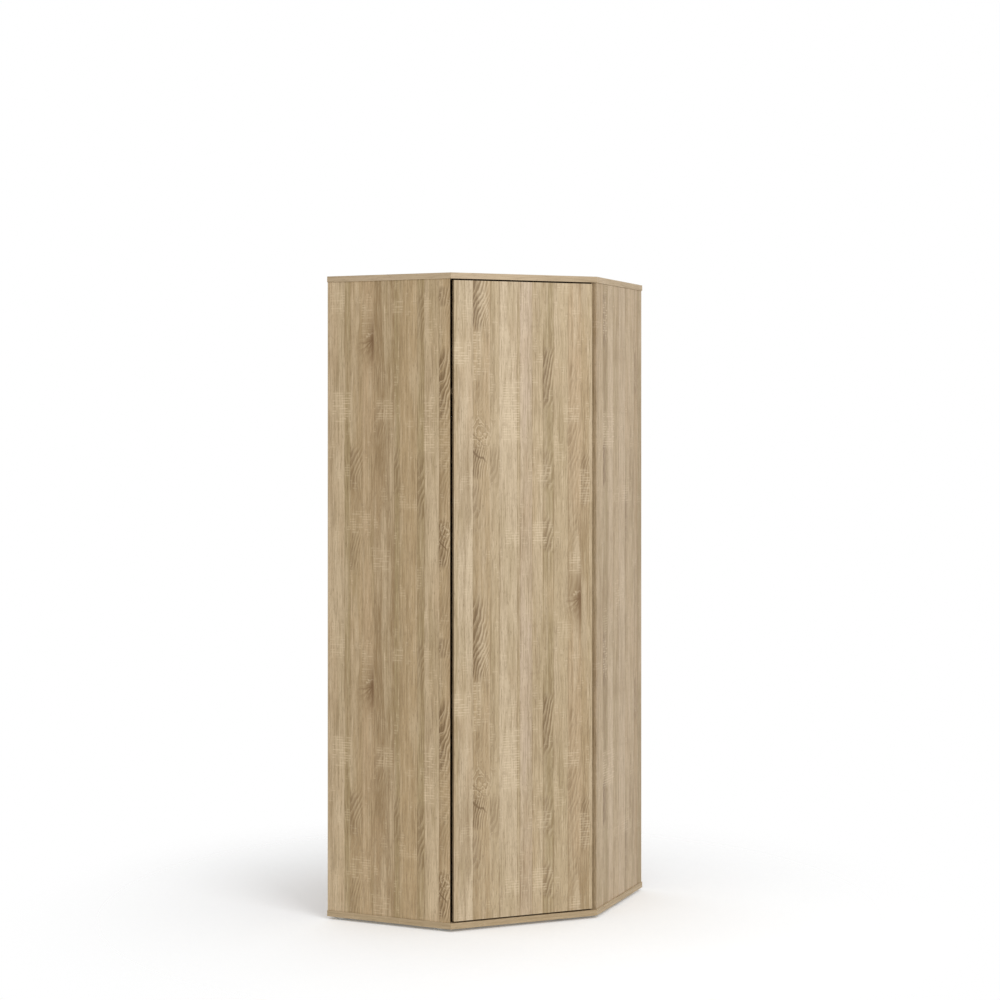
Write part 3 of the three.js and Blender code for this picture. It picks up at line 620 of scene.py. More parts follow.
WORN_TONE = 0.86  # of a metal's colour where it is worn
WORN_ROUGH = (0.85, 1.25)
SHADED_TONE = 0.88  # of a plastic's colour in its darker clouds
RAW_DARK = (0.235, 0.150, 0.085)
RAW_PALE = (0.335, 0.225, 0.135)
RAW_CLOUD = (0.270, 0.175, 0.105)


def metal(name, color, roughness, scratch, grain=(1.0, 1.0, 1.0)):
    """Plated steel with fine wear."""
    graph = Graph(name)
    place = graph.node("ShaderNodeTexCoord")
    mapping = graph.node("ShaderNodeMapping")
    mapping.inputs["Scale"].default_value = grain
    graph.feed(mapping.inputs["Vector"], place.outputs["Object"])
    wear = graph.noise(mapping.outputs[0], scale=scratch, detail=3.0)
    dull = tuple(value * WORN_TONE for value in color)
    tone = graph.blend(graph.smooth(wear, 0.35, 0.65), color, dull)
    rough = graph.smooth(wear, 0.3, 0.7, *(roughness * share for share in WORN_ROUGH))
    return graph.finish(tone, rough, bump=(wear, 0.08, 0.0001), Metallic=1.0)


def plastic(name, color, roughness):
    """Moulded plastic with a fine matt grain."""
    graph = Graph(name)
    place = graph.node("ShaderNodeTexCoord")
    grain = graph.noise(place.outputs["Object"], scale=900.0, detail=2.0)
    cloud = graph.noise(place.outputs["Object"], scale=30.0, detail=2.0)
    darker = tuple(value * SHADED_TONE for value in color)
    tone = graph.blend(graph.smooth(cloud, 0.35, 0.65), color, darker)
    return graph.finish(tone, roughness, bump=(grain, 0.12, 0.0001), Specular_IOR_Level=0.4)


def fibreboard(name):
    """Thin fibreboard, with a pale lacquered print of oak inside and raw brown board behind."""
    graph = Graph(name)
    place = graph.node("ShaderNodeTexCoord")
    x, y, z = graph.split(place.outputs["Object"])
    nx, ny, _ = graph.split(place.outputs["Normal"])
    inside = graph.math("GREATER_THAN", graph.math("SUBTRACT", nx, ny), 0.5)
    fluff = graph.noise(place.outputs["Object"], scale=420.0, detail=4.0, roughness=0.7)
    cloud = graph.noise(place.outputs["Object"], scale=9.0, detail=3.0)
    raw = graph.blend(graph.smooth(fluff, 0.35, 0.65), RAW_DARK, RAW_PALE)
    raw = graph.blend(graph.smooth(cloud, 0.40, 0.62, 0.0, 0.5), raw, RAW_CLOUD)
    wide = graph.math("SUBTRACT", x, y)
    streaks = graph.noise(graph.vector(graph.product(wide, 160.0), z, 0.0), scale=2.0, detail=3.0)
    lacquer = graph.blend(graph.smooth(streaks, 0.35, 0.65), TINTS["pale"], TINTS["straw"])
    tone = graph.blend(inside, raw, lacquer)
    rough = graph.swap(inside, 0.78, 0.42)
    return graph.finish(tone, rough, bump=(fluff, 0.10, 0.0002), Specular_IOR_Level=0.3)


back_board = fibreboard("back_board")
bright_steel = metal("bright_steel", (0.78, 0.79, 0.80), 0.16, 60.0)
brushed_steel = metal("brushed_steel", (0.62, 0.63, 0.63), 0.34, 260.0, (1.0, 1.0, 0.06))
zinc = metal("zinc_plated_steel", (0.60, 0.61, 0.60), 0.38, 120.0)
glide_plastic = plastic("glide_plastic", (0.52, 0.51, 0.48), 0.5)
catch_plastic = plastic("catch_plastic", (0.105, 0.070, 0.046), 0.45)

# Fittings are drawn in millimetres, in the frame of what carries them.
MM = Matrix.Scale(0.001, 4)
# X along the door, Y into the wardrobe
FRONT = Matrix.Translation(FRONT_START) @ Matrix.Rotation(EIGHTH, 4, "Z") @ MM
DOOR_BACK = 16.0
SEAT = 0.3  # between pieces that sit on one another
PROUD = 0.05  # of a screw's face over what it holds
ROUND_STEPS = 40
SMALL_STEPS = 24
SHARP_TURN = 0.7  # radians between two faces from which their edge is eased


def at(x, y, z, turn=None):
    place = Matrix.Translation((x, y, z))
    return place if turn is None else place @ turn


def laid(x, y, z):
    """Turns the Z axis of a form to a direction."""
    return Vector((x, y, z)).to_track_quat("Z", "Y").to_matrix().to_4x4()


def rounded_corners(length, width, radius, steps=6):
    """A rectangle round the origin with round corners."""
    points = []
    for corner in range(4):
        way_x, way_y = ((1, 1), (-1, 1), (-1, -1), (1, -1))[corner]
        for step in range(steps + 1):
            angle = (corner + step / steps) * QUARTER
            points.append(
                (
                    way_x * (length / 2 - radius) + radius * math.cos(angle),
                    way_y * (width / 2 - radius) + radius * math.sin(angle),
                )
            )
    return points


def ease(form, width, segments):
    """Bevels a form's sharp edges."""
    sharp = [
        edge for edge in form.edges
        if len(edge.link_faces) == 2 and edge.calc_face_angle() > SHARP_TURN
    ]
    bmesh.ops.bevel(
        form, geom=sharp, offset=width, segments=segments, affect="EDGES", profile=0.5, material=-1,
        clamp_overlap=True,
    )


class Fitting:
    """One fitting, put together from turned and cut forms."""

    def __init__(self):
        self.shape = bmesh.new()

    def take(self, form, place, rounding=0.0):
        bmesh.ops.remove_doubles(form, verts=form.verts, dist=1e-4)
        bmesh.ops.recalc_face_normals(form, faces=form.faces)
        if rounding:
            ease(form, rounding, 2)
        form.transform(place)
        carrier = bpy.data.meshes.new("form")
        form.to_mesh(carrier)
        form.free()
        self.shape.from_mesh(carrier)
        bpy.data.meshes.remove(carrier)

    def turned(self, profile, place, steps=ROUND_STEPS, rounding=0.0):
        """A form turned round Z from (radius, height) points; a closed profile makes a ring."""
        form = bmesh.new()
        points = [form.verts.new((radius, 0, height)) for radius, height in profile]
        edges = [form.edges.new(pair) for pair in zip(points, points[1:])]
        if profile[0][0] > 0:
            edges.append(form.edges.new((points[-1], points[0])))
        bmesh.ops.spin(
            form, geom=points + edges, axis=(0, 0, 1), cent=(0, 0, 0), angle=math.tau, steps=steps,
            use_merge=True,
        )
        self.take(form, place, rounding)

    def slab(self, points, low, high, place, rounding=0.0):
        """A flat shape in XY, raised from low to high."""
        form = bmesh.new()
        face = form.faces.new([form.verts.new((x, y, low)) for x, y in points])
        raised = bmesh.ops.extrude_face_region(form, geom=[face])
        moved = [item for item in raised["geom"] if isinstance(item, bmesh.types.BMVert)]
        bmesh.ops.translate(form, vec=(0, 0, high - low), verts=moved)
        self.take(form, place, rounding)

    def screw(self, radius, place):
        """A countersunk screw's head with a cross recess, its face at the height 0."""
        arm, half = radius * 0.62, radius * 0.13
        cross = [
            (arm, half), (half, half), (half, arm), (-half, arm), (-half, half), (-arm, half),
            (-arm, -half), (-half, -half), (-half, -arm), (half, -arm), (half, -half), (arm, -half),
        ]
        form = bmesh.new()
        rim = [
            form.verts.new((radius * math.cos(angle), radius * math.sin(angle), 0))
            for angle in (math.tau * i / SMALL_STEPS for i in range(SMALL_STEPS))
        ]
        mouth = [form.verts.new((x, y, 0)) for x, y in cross]
        loops = [
            [form.edges.new((loop[i - 1], loop[i])) for i in range(len(loop))]
            for loop in (rim, mouth)
        ]
        bmesh.ops.triangle_fill(form, edges=loops[0] + loops[1], use_beauty=True)
        for loop, depth, grow in ((loops[0], -radius * 0.5, 0.5), (loops[1], -radius * 0.45, 0.70)):
            made = bmesh.ops.extrude_edge_only(form, edges=loop)["geom"]
            ends = [item for item in made if isinstance(item, bmesh.types.BMVert)]
            bmesh.ops.scale(form, vec=(grow, grow, 1), verts=ends)
            bmesh.ops.translate(form, vec=(0, 0, depth), verts=ends)
            rims = [item for item in made if isinstance(item, bmesh.types.BMEdge)]
            bmesh.ops.contextual_create(form, geom=rims)
        self.take(form, place)

    def done(self, name, body, slot, material, *nodes):
        mesh = bpy.data.meshes.new(name)
        self.shape.to_mesh(mesh)
        self.shape.free()
        mesh.materials.append(material)
        mesh.shade_smooth()
        mesh.set_sharp_from_angle(angle=math.radians(32))
        piece = bpy.data.objects.new(name, mesh)
        scene.collection.objects.link(piece)
        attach(piece, body)
        if nodes:
            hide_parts(*nodes)


# Places of the fittings, as in the frame
DOOR_RIGHT = 469.08
CARCASS = (27.0, 1982.0)  # from the bottom panel to the top panel
SHELF_LOW = 1632.0
PANEL_INNER = 21.0  # inner face of a side panel, from the top panel's edge
HALF_MM = HALF * 1000
HINGE_HEIGHTS = (142.0, 717.0, 1292.0, 1867.0)

# Clothes rail and its hangers
RAIL_RADIUS = 12.5
RAIL_WALL = 1.5
RAIL_LENGTH = 760.0
RAIL_AXIS = (242.54, 330.0, 1572.0)
RAIL_EASE = 0.4
HANGER_REACH = 320.0
HANGER_BORE = 12.8
HANGER_OUTER = 15.8
HANGER_WIDTH = 14.0
HANGER_FOOT = (56.0, 2.5)  # length and thickness
HANGER_STEM = 4.0
HANGER_STEM_SINK = 1.2  # end of the stem inside the foot, from the foot's upper face
HANGER_SCREW = (3.6, 20.0)  # radius and place


def clothes_rail():
    fitting = Fitting()
    inner, half = RAIL_RADIUS - RAIL_WALL, RAIL_LENGTH / 2
    end = [
        (inner, -half + RAIL_EASE), (inner + RAIL_EASE, -half),
        (RAIL_RADIUS - RAIL_EASE, -half), (RAIL_RADIUS, -half + RAIL_EASE),
    ]
    profile = end + [(radius, -height) for radius, height in reversed(end)]
    fitting.turned(profile, FRONT @ at(*RAIL_AXIS, laid(1, 0, 0)), steps=64)
    fitting.done("steel_rail", "carcass", "bright_steel", bright_steel, "clothes_rail")


def rail_hanger(side, way):
    fitting = Fitting()
    middle = FRONT @ at(RAIL_AXIS[0] + way * HANGER_REACH, RAIL_AXIS[1], RAIL_AXIS[2])
    half = HANGER_WIDTH / 2
    ring = [(HANGER_BORE, -half), (HANGER_OUTER, -half), (HANGER_OUTER, half), (HANGER_BORE, half)]
    fitting.turned(ring, middle @ laid(1, 0, 0), steps=56, rounding=0.5)
    foot_length, foot_thickness = HANGER_FOOT
    foot_top = SHELF_LOW - RAIL_AXIS[2] - SEAT
    foot = rounded_corners(HANGER_WIDTH, foot_length, 5.0)
    fitting.slab(foot, foot_top - foot_thickness, foot_top, middle, rounding=0.4)
    stem = rounded_corners(HANGER_WIDTH, HANGER_STEM, 1.2)
    fitting.slab(stem, (HANGER_BORE + HANGER_OUTER) / 2, foot_top - HANGER_STEM_SINK, middle)
    radius, reach = HANGER_SCREW
    for step in (-1, 1):
        face = foot_top - foot_thickness - PROUD
        fitting.screw(radius, middle @ at(0, step * reach, face, laid(0, 0, -1)))
    fitting.done(f"hanger_{side}", "carcass", "bright_steel", bright_steel, f"rail_hanger_{side}")


# Hinges
PIVOT = (DOOR_RIGHT - 14.5, 12.5)  # from the door's edge and behind its front face
PIN_RADIUS = 2.0
PIN_TIP = (1.6, 0.4)  # radius of the pin's end and height of its chamfer
PIN_REACH = 13.0
CUP_MIDDLE = DOOR_RIGHT - 5.0 - 17.5  # of a 35 mm cup, its rim 5 mm from the door's edge
CUP_DEPTH = 12.5
BARREL = 17.35
CUP_WALL = 1.1
CUP_FLOOR = 1.2
CUP_FOOT = 1.2  # chamfer round the cup's foot
FLANGE = (20.0, 1.2)  # radius and thickness
FLANGE_EASE = 0.4
MOUTH_EASE = 0.6
FLOOR_EASE = 1.0
EAR = (14.0, 13.0, 6.4)  # length, width and corner radius
EAR_PLACE = (-6.0, 24.5)
EAR_SCREW = (-6.0, 24.0)
LUG = (7.2, 3.0, 0.8)
LUG_REACH = 11.5
WOOD_SCREW = 3.9
ARM_WIDTH = 18.0
ARM_THICKNESS = 3.5
ARM_RISE = 31.0
ARM_LENGTH = 60.0
ARM_WALL = 1.5
ARM_SLOPE = 12.0  # length over which the channel's walls grow to their full height
ARM_FIXING = 28.0  # middle of the plate, from the arm's end
ARM_SCREWS = ((4.4, 0.0), (2.6, 15.0))  # radius and place towards the door
EYE = (2.15, 4.2)  # bore and outer radius
PLATE_BASE = 2.0
PLATE_WINGS = ((56.0, 12.0), (18.0, 58.0))
PLATE_BLOCK = (38.0, 10.5, 1.0)
PLATE_SCREW_REACH = 16.0
WEB_HEIGHT = 14.5  # of the arm's web above the side panel


def hinge_cup(number, height):
    fitting = Fitting()
    mouth_up = FRONT @ at(CUP_MIDDLE, 0, height, Matrix.Rotation(-QUARTER, 4, "X"))
    low = DOOR_BACK - CUP_DEPTH + SEAT
    floor_top = low + CUP_FLOOR
    flange_radius, flange_thickness = FLANGE
    flange_low = DOOR_BACK + SEAT
    top = flange_low + flange_thickness
    inner = BARREL - CUP_WALL
    profile = [
        (0, low), (BARREL - CUP_FOOT, low), (BARREL, low + CUP_FOOT), (BARREL, flange_low),
        (flange_radius, flange_low), (flange_radius, top - FLANGE_EASE), (flange_radius - FLANGE_EASE, top),
        (inner + MOUTH_EASE, top), (inner, top - MOUTH_EASE), (inner, floor_top + FLOOR_EASE),
        (inner - FLOOR_EASE, floor_top), (0, floor_top),
    ]
    fitting.turned(profile, mouth_up, steps=56)
    for way in (-1, 1):
        ear_place = mouth_up @ at(EAR_PLACE[0], way * EAR_PLACE[1], 0)
        fitting.slab(rounded_corners(*EAR), flange_low, top - 0.02, ear_place, rounding=0.25)
        fitting.screw(WOOD_SCREW, mouth_up @ at(EAR_SCREW[0], way * EAR_SCREW[1], top + 0.12))
        lug_place = mouth_up @ at(PIVOT[0] - CUP_MIDDLE, way * LUG_REACH, 0)
        fitting.slab(rounded_corners(*LUG), floor_top, top - 0.05, lug_place)
    fitting.done(f"cup_{number}", "door", "zinc", brushed_steel, f"hinge_cup_{number}")
    pin = Fitting()
    tip, chamfer = PIN_TIP
    profile = [
        (0, -PIN_REACH), (tip, -PIN_REACH), (PIN_RADIUS, -PIN_REACH + chamfer),
        (PIN_RADIUS, PIN_REACH - chamfer), (tip, PIN_REACH), (0, PIN_REACH),
    ]
    pin.turned(profile, FRONT @ at(*PIVOT, height), steps=SMALL_STEPS)
    pin.done(f"pin_{number}", "door", "bright_steel", bright_steel, f"hinge_pin_{number}")


# The neck's line in shares of its reach, from the pin out to the left and back to the channel
NECK = ((0, 0), (-0.5, -0.1), (-0.9, 0.12), (-1, 0.62), (-0.72, 1.25))
NECK_STEPS = 44
NECK_CLEARANCE = 0.6  # between the neck and the door's inner corner
NECK_START = 3.0  # from the pin's axis, inside the eye's wall


def neck_line(web_x):
    """Points of the neck's smooth curve, from the eye's rim to the channel."""
    corner = math.hypot(DOOR_RIGHT - PIVOT[0], DOOR_BACK - PIVOT[1])
    reach = corner + ARM_THICKNESS / 2 + NECK_CLEARANCE
    knots = [Vector((x * reach, y * reach)) for x, y in NECK] + [Vector((web_x, ARM_RISE))]
    last = len(knots) - 1
    line = []
    for step in range(NECK_STEPS + 1):
        part = min(step / NECK_STEPS * last, last - 1e-6)
        i = int(part)
        t = part - i
        p0 = knots[max(i - 1, 0)]
        p1, p2 = knots[i], knots[i + 1]
        p3 = knots[min(i + 2, last)]
        v0, v1 = (p2 - p0) / 2, (p3 - p1) / 2
        point = (2 * p1 - 2 * p2 + v0 + v1) * t**3 + (-3 * p1 + 3 * p2 - 2 * v0 - v1) * t**2 + v0 * t + p1
        if point.length > NECK_START:
            line.append(point)
    return line


def hinge_arm(number, height):
    """The arm with its neck and eye, and the mounting plate under it."""
    fitting = Fitting()
    pivot = (FRONT @ Vector((*PIVOT, height))) * 1000
    place = MM @ Matrix.Translation(pivot)
    face_x = HALF_MM - PANEL_INNER - pivot.x
    web_x = face_x - WEB_HEIGHT
    line = neck_line(web_x)
    left, right = [], []
    for i, point in enumerate(line):
        way = (line[min(i + 1, len(line) - 1)] - line[max(i - 1, 0)]).normalized()
        side = Vector((-way.y, way.x)) * ARM_THICKNESS / 2
        left.append(tuple(point + side))
        right.append(tuple(point - side))
    half = ARM_WIDTH / 2
    fitting.slab(left + right[::-1], -half, half, place, rounding=0.35)
    bore, outer = EYE
    ring = [(bore, -half), (outer, -half), (outer, half), (bore, half)]
    fitting.turned(ring, place, steps=32, rounding=0.25)
    end = ARM_RISE + ARM_LENGTH
    thick = ARM_THICKNESS / 2
    top = web_x - thick
    web = [(top, ARM_RISE), (web_x + thick, ARM_RISE), (web_x + thick, end), (top, end)]
    fitting.slab(web, -half, half, place, rounding=0.5)
    bottom = face_x - PLATE_BASE - SEAT * 2
    wall = [(top, ARM_RISE), (web_x, ARM_RISE), (bottom, ARM_RISE + ARM_SLOPE), (bottom, end), (top, end)]
    for low in (-half, half - ARM_WALL):
        fitting.slab(wall, low, low + ARM_WALL, place, rounding=0.3)
    middle = end - ARM_FIXING
    for radius, step in ARM_SCREWS:
        fitting.screw(radius, place @ at(top - PROUD, middle - step, 0, laid(-1, 0, 0)))
    fitting.done(f"arm_{number}", "carcass", "zinc", brushed_steel, f"hinge_arm_{number}")

    plate = Fitting()
    foot = place @ at(face_x - SEAT, middle, 0, laid(-1, 0, 0))
    for length, width in PLATE_WINGS:
        plate.slab(rounded_corners(length, width, 4.0), 0, PLATE_BASE, foot, rounding=0.3)
    block = rounded_corners(*PLATE_BLOCK)
    plate.slab(block, PLATE_BASE / 2, WEB_HEIGHT - thick - SEAT * 2, foot, rounding=0.4)
    for way in (-1, 1):
        plate.screw(WOOD_SCREW, foot @ at(0, way * PLATE_SCREW_REACH, PLATE_BASE + PROUD))
    plate.done(f"plate_{number}", "carcass", "zinc", zinc, f"hinge_plate_{number}")


# Shelf pegs: radius and place along the peg, from the tip in the board to the free end
PEG_PROFILE = (
    (0, -9.0), (2.1, -9.0), (2.5, -8.6), (2.5, SEAT), (5.2, SEAT), (5.5, SEAT + 0.3), (5.5, SEAT + 1.2),
    (5.2, SEAT + 1.5), (3.5, SEAT + 1.5), (3.5, SEAT + 9.9), (2.9, SEAT + 10.5), (0, SEAT + 10.5),
)
PEG_RADIUS = 3.5
PEG_HEIGHT = SHELF_LOW - SEAT - PEG_RADIUS
PEG_FRONT = 329.0  # from the wall behind
PEG_REAR = 60.0
STILE_FACE = 21.0
STILE_PEG = 43.0
INNER_FACE = HALF_MM - PANEL_INNER

# Where each peg stands on an inner face, and the way that it points
PEGS = {
    "left_front": ((PEG_FRONT - HALF_MM, -INNER_FACE), (0, 1, 0)),
    "left_rear": ((PEG_REAR - HALF_MM, -INNER_FACE), (0, 1, 0)),
    "right_front": ((INNER_FACE, HALF_MM - PEG_FRONT), (-1, 0, 0)),
    "right_rear": ((INNER_FACE, HALF_MM - PEG_REAR), (-1, 0, 0)),
    "rear_corner": ((STILE_FACE - HALF_MM, HALF_MM - STILE_PEG), (1, 0, 0)),
}


def shelf_peg(corner, place, way):
    fitting = Fitting()
    fitting.turned(PEG_PROFILE, MM @ at(*place, PEG_HEIGHT, laid(*way)), steps=SMALL_STEPS)
    fitting.done(f"peg_{corner}", "carcass", "bright_steel", bright_steel, f"shelf_peg_{corner}")


# Glides under the bottom panel's corners
GLIDE_SOLE = 25.0
GLIDE_ROUND = 5.0  # radius of the sole's round edge
GLIDE_STEPS = 6
GLIDE_TOP = [(30.0, 8.4), (29.7, 8.7), (4.0, 8.7), (4.0, 19.0), (3.2, 20.0), (0, 20.0)]
GLIDE_CORNER = 343.5
GLIDE_FRONT = 0.5
GLIDES = {
    "left_front": (GLIDE_FRONT, -GLIDE_CORNER),
    "left_rear": (-GLIDE_CORNER, -GLIDE_CORNER),
    "right_front": (GLIDE_CORNER, -GLIDE_FRONT),
    "right_rear": (GLIDE_CORNER, GLIDE_CORNER),
    "rear_corner": (-GLIDE_CORNER, GLIDE_CORNER),
}


def glide(corner, place):
    fitting = Fitting()
    profile = [(0, 0)]
    for step in range(GLIDE_STEPS + 1):
        angle = step / GLIDE_STEPS * QUARTER
        height = GLIDE_ROUND - GLIDE_ROUND * math.cos(angle)
        profile.append((GLIDE_SOLE + GLIDE_ROUND * math.sin(angle), height))
    fitting.turned(profile + GLIDE_TOP, MM @ at(*place, 0), steps=64)
    fitting.done(f"foot_{corner}", "carcass", "glide_plastic", glide_plastic, f"glide_{corner}")


# Magnetic catch and its strike plate
CATCH_MIDDLE = 70.5
CATCH_BODY = (26.0, 18.0, 1.5)  # length, depth and corner radius
CATCH_HEIGHT = 20.0
CATCH_FLANGE = (50.0, 9.0, 2.0)
CATCH_FLANGE_THICKNESS = 2.5
CATCH_SCREW = (3.2, 19.0)  # radius and place
CATCH_BEHIND = 2.1  # from the strike's face to the body
POLE = (13.0, 3.0, 0.4)
POLE_HALF = 0.6
POLE_MIDDLE = 1970.0
POLE_SPREAD = 3.5
STRIKE = (36.0, 12.0, 2.0)
STRIKE_THICKNESS = 1.2
STRIKE_FACE = 17.5
STRIKE_SCREW = (2.8, 13.5)


def magnetic_catch():
    front = STRIKE_FACE + CATCH_BEHIND
    fitting = Fitting()
    body = FRONT @ at(CATCH_MIDDLE, front + CATCH_BODY[1] / 2, CARCASS[1] - SEAT)
    fitting.slab(rounded_corners(*CATCH_BODY), -CATCH_HEIGHT, 0, body, rounding=0.6)
    fitting.slab(rounded_corners(*CATCH_FLANGE), -CATCH_FLANGE_THICKNESS, 0, body, rounding=0.4)
    radius, reach = CATCH_SCREW
    for way in (-1, 1):
        face = -CATCH_FLANGE_THICKNESS - PROUD
        fitting.screw(radius, body @ at(way * reach, 0, face, laid(0, 0, -1)))
    fitting.done("catch_body", "carcass", "catch_plastic", catch_plastic, "door_catch")
    poles = Fitting()
    for way in (-1, 1):
        pole = FRONT @ at(CATCH_MIDDLE, front, POLE_MIDDLE + way * POLE_SPREAD)
        poles.slab(rounded_corners(*POLE), -POLE_HALF, POLE_HALF, pole, rounding=0.15)
    poles.done("catch_poles", "carcass", "bright_steel", bright_steel)
    strike = Fitting()
    back = STRIKE_FACE - STRIKE_THICKNESS
    face = FRONT @ at(CATCH_MIDDLE, back, POLE_MIDDLE, Matrix.Rotation(-QUARTER, 4, "X"))
    strike.slab(rounded_corners(*STRIKE), 0, STRIKE_THICKNESS, face, rounding=0.3)
    radius, reach = STRIKE_SCREW
    for way in (-1, 1):
        strike.screw(radius, face @ at(way * reach, 0, STRIKE_THICKNESS + 0.02))
    strike.done("strike", "door", "bright_steel", bright_steel, "strike_plate")


BOARD_EDGE = 0.0004  # width meant for the boards' eased edges


def eased_board(node, body, material, shave=None):
    """The same board in its own finish. shave moves the points that a test picks.

    Its edges stay square: the copy's triangles are loose, so the easing finds no shared edge, and the
    dissolve only takes three thin triangles off the door's back. Merged doubles would mend both.
    """
    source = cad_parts[node]
    form = bmesh.new()
    form.from_mesh(source.data)
    form.transform(source.matrix_world)
    bmesh.ops.dissolve_limit(form, angle_limit=0.01, verts=form.verts, edges=form.edges)
    if shave is not None:
        picks, step = shave
        bmesh.ops.translate(form, vec=step, verts=[vert for vert in form.verts if picks(vert.co)])
    ease(form, BOARD_EDGE, 1)
    mesh = bpy.data.meshes.new(node)
    form.to_mesh(mesh)
    form.free()
    mesh.materials.clear()
    mesh.materials.append(material)
    mesh.polygons.foreach_set("material_index", [0] * len(mesh.polygons))
    piece = bpy.data.objects.new(f"eased_{node}", mesh)
    scene.collection.objects.link(piece)
    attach(piece, body)
    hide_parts(node)


# The back panels are nailed on. Each gives up the height of the nails' heads behind.
NAIL_HEAD = 0.4
NAIL_RADIUS = 2.4
NAIL_COUNT = 15
NAIL_LINE = HALF_MM - 12.0  # over the middle of a side panel's thickness
STILE_LINE = HALF_MM - 42.0
NAIL_END = 60.0  # from the carcass's lower and upper ends


def nails():
    fitting = Fitting()
    head = [
        (0, 0), (NAIL_RADIUS, 0), (NAIL_RADIUS, NAIL_HEAD * 0.5), (NAIL_RADIUS * 0.7, NAIL_HEAD),
        (0, NAIL_HEAD),
    ]
    face = HALF_MM - NAIL_HEAD
    lines = [
        (-face, -NAIL_LINE, (-1, 0, 0)), (-face, STILE_LINE, (-1, 0, 0)),
        (NAIL_LINE, face, (0, 1, 0)), (-NAIL_LINE, face, (0, 1, 0)),
    ]
    low, high = CARCASS[0] + NAIL_END, CARCASS[1] - NAIL_END
    for x, y, way in lines:
        for i in range(NAIL_COUNT):
            height = low + (high - low) * i / (NAIL_COUNT - 1)
            fitting.turned(head, MM @ at(x, y, height, laid(*way)), steps=10)
    fitting.done("back_nails", "carcass", "zinc", zinc)


shaved = NAIL_HEAD / 1000
eased_board(
    "left_back_panel", "carcass", back_board,
    (lambda place: place.x < -HALF + 1e-4, (shaved, 0, 0)),
)
eased_board(
    "right_back_panel", "carcass", back_board,
    (lambda place: place.y > HALF - 1e-4, (0, -shaved, 0)),
)
nails()
eased_board("door_panel", "door", door_decor)
eased_board("left_side_panel", "carcass", left_decor)
eased_board("right_side_panel", "carcass", right_decor)
eased_board("rear_corner_stile", "carcass", stile_decor)
for node in ("top_panel", "bottom_panel", "hat_shelf"):
    eased_board(node, "carcass", flat_decor)
clothes_rail()
rail_hanger("left", -1)
rail_hanger("right", 1)
for number, height in enumerate(HINGE_HEIGHTS, 1):
    hinge_cup(number, height)
    hinge_arm(number, height)
for corner, (place, way) in PEGS.items():
    shelf_peg(corner, place, way)
for corner, place in GLIDES.items():
    glide(corner, place)
magnetic_catch()
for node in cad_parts:
    if node.startswith("cam_bolt"):
        dress(node, bright_steel)
    elif node.startswith("cam_"):
        dress(node, zinc)

# Camera, as the photograph's: level, its frame shifted down
CAMERA_LENS = 72.894
CAMERA_SENSOR = 36.0
CAMERA_SHIFT = -0.07284
CAMERA_PLACE = (2.6165, -5.9516, 1.531)
CAMERA_LOOK = Vector((-0.3977, 0.9175, 0.0))

camera_data = bpy.data.cameras.new("camera")
camera_data.lens = CAMERA_LENS
camera_data.sensor_width = CAMERA_SENSOR
camera_data.shift_y = CAMERA_SHIFT
camera = bpy.data.objects.new("camera", camera_data)
camera.location = CAMERA_PLACE
camera.rotation_euler = CAMERA_LOOK.to_track_quat("-Z", "Y").to_euler()
scene.collection.objects.link(camera)
scene.camera = camera

# Floor that fades into a white backdrop and keeps the shadow
FLOOR_REACH = 4.0
FLOOR_FADE = (0.5, 1.6)  # from the middle, where it starts to fade and where it is gone
FLOOR_GLOW = 0.100
GLOW_TINT = (0.90, 0.96, 1.00, 1.0)  # makes up for the warm light off the boards


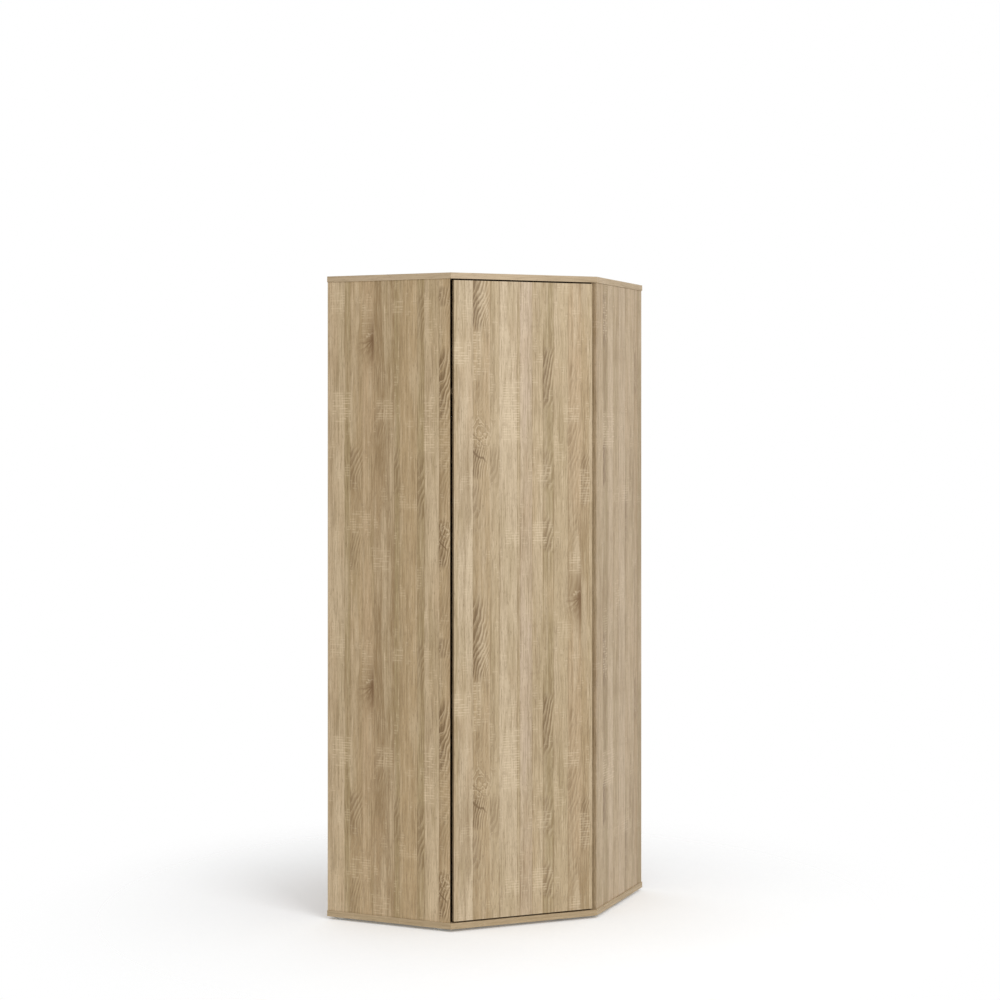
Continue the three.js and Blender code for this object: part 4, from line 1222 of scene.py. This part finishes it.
def floor_material():
    graph = Graph("floor_white")
    place = graph.node("ShaderNodeTexCoord")
    x, y, _ = graph.split(place.outputs["Object"])
    fade = graph.smooth(graph.math("SQRT", graph.squares(x, y)), *FLOOR_FADE)
    mottle = graph.noise(place.outputs["Object"], scale=3.0)
    white = graph.blend(mottle, (0.96, 0.96, 0.96), (0.98, 0.98, 0.98))
    matte = graph.node("ShaderNodeBsdfDiffuse")
    graph.feed(matte.inputs[0], white)
    clear = graph.node("ShaderNodeBsdfTransparent")
    mix = graph.node("ShaderNodeMixShader")
    graph.feed(mix.inputs[0], fade)
    graph.tree.links.new(clear.outputs[0], mix.inputs[2])
    glow = graph.node("ShaderNodeEmission")
    glow.inputs["Color"].default_value = GLOW_TINT
    glow.inputs["Strength"].default_value = FLOOR_GLOW
    lit = graph.node("ShaderNodeAddShader")
    graph.tree.links.new(matte.outputs[0], lit.inputs[0])
    graph.tree.links.new(glow.outputs[0], lit.inputs[1])
    graph.tree.links.new(lit.outputs[0], mix.inputs[1])
    output = graph.node("ShaderNodeOutputMaterial")
    graph.tree.links.new(mix.outputs[0], output.inputs[0])
    return graph.material


floor_mesh = bpy.data.meshes.new("floor")
shape = bmesh.new()
bmesh.ops.create_grid(shape, x_segments=1, y_segments=1, size=FLOOR_REACH)
shape.to_mesh(floor_mesh)
shape.free()
floor_mesh.materials.append(floor_material())
floor = bpy.data.objects.new("floor", floor_mesh)
scene.collection.objects.link(floor)

# Plain world: white to the camera and in reflections, softer as light
WHITE = (1.0, 1.0, 1.0, 1.0)
ROOM_LIGHT = 0.77
BACKDROP = 1.0

world = bpy.data.worlds.new("studio")
scene.world = world
world.use_nodes = True
nodes, links = world.node_tree.nodes, world.node_tree.links
nodes.clear()
path = nodes.new("ShaderNodeLightPath")
seen = path.outputs["Is Camera Ray"]
for ray in ("Is Glossy Ray", "Is Transmission Ray"):
    either = nodes.new("ShaderNodeMath")
    either.operation = "MAXIMUM"
    links.new(seen, either.inputs[0])
    links.new(path.outputs[ray], either.inputs[1])
    seen = either.outputs[0]
mix = nodes.new("ShaderNodeMixShader")
links.new(seen, mix.inputs[0])
for i, strength in enumerate((ROOM_LIGHT, BACKDROP), 1):
    background = nodes.new("ShaderNodeBackground")
    background.inputs[0].default_value = WHITE
    background.inputs[1].default_value = strength
    links.new(background.outputs[0], mix.inputs[i])
world_output = nodes.new("ShaderNodeOutputWorld")
links.new(mix.outputs[0], world_output.inputs[0])

# Key lamp, high before the right side
KEY_PLACE = (3.4, -2.3, 3.0)
KEY_TARGET = (0, 0, 1.1)
KEY_SIZE = 2.4
KEY_POWER = 80


def softbox(name, place, target, size, power):
    data = bpy.data.lights.new(name, "AREA")
    data.shape = "SQUARE"
    data.size = size
    data.energy = power
    lamp = bpy.data.objects.new(name, data)
    lamp.location = place
    lamp.rotation_euler = (Vector(target) - Vector(place)).to_track_quat("-Z", "Y").to_euler()
    scene.collection.objects.link(lamp)


softbox("key_lamp", KEY_PLACE, KEY_TARGET, KEY_SIZE, KEY_POWER)
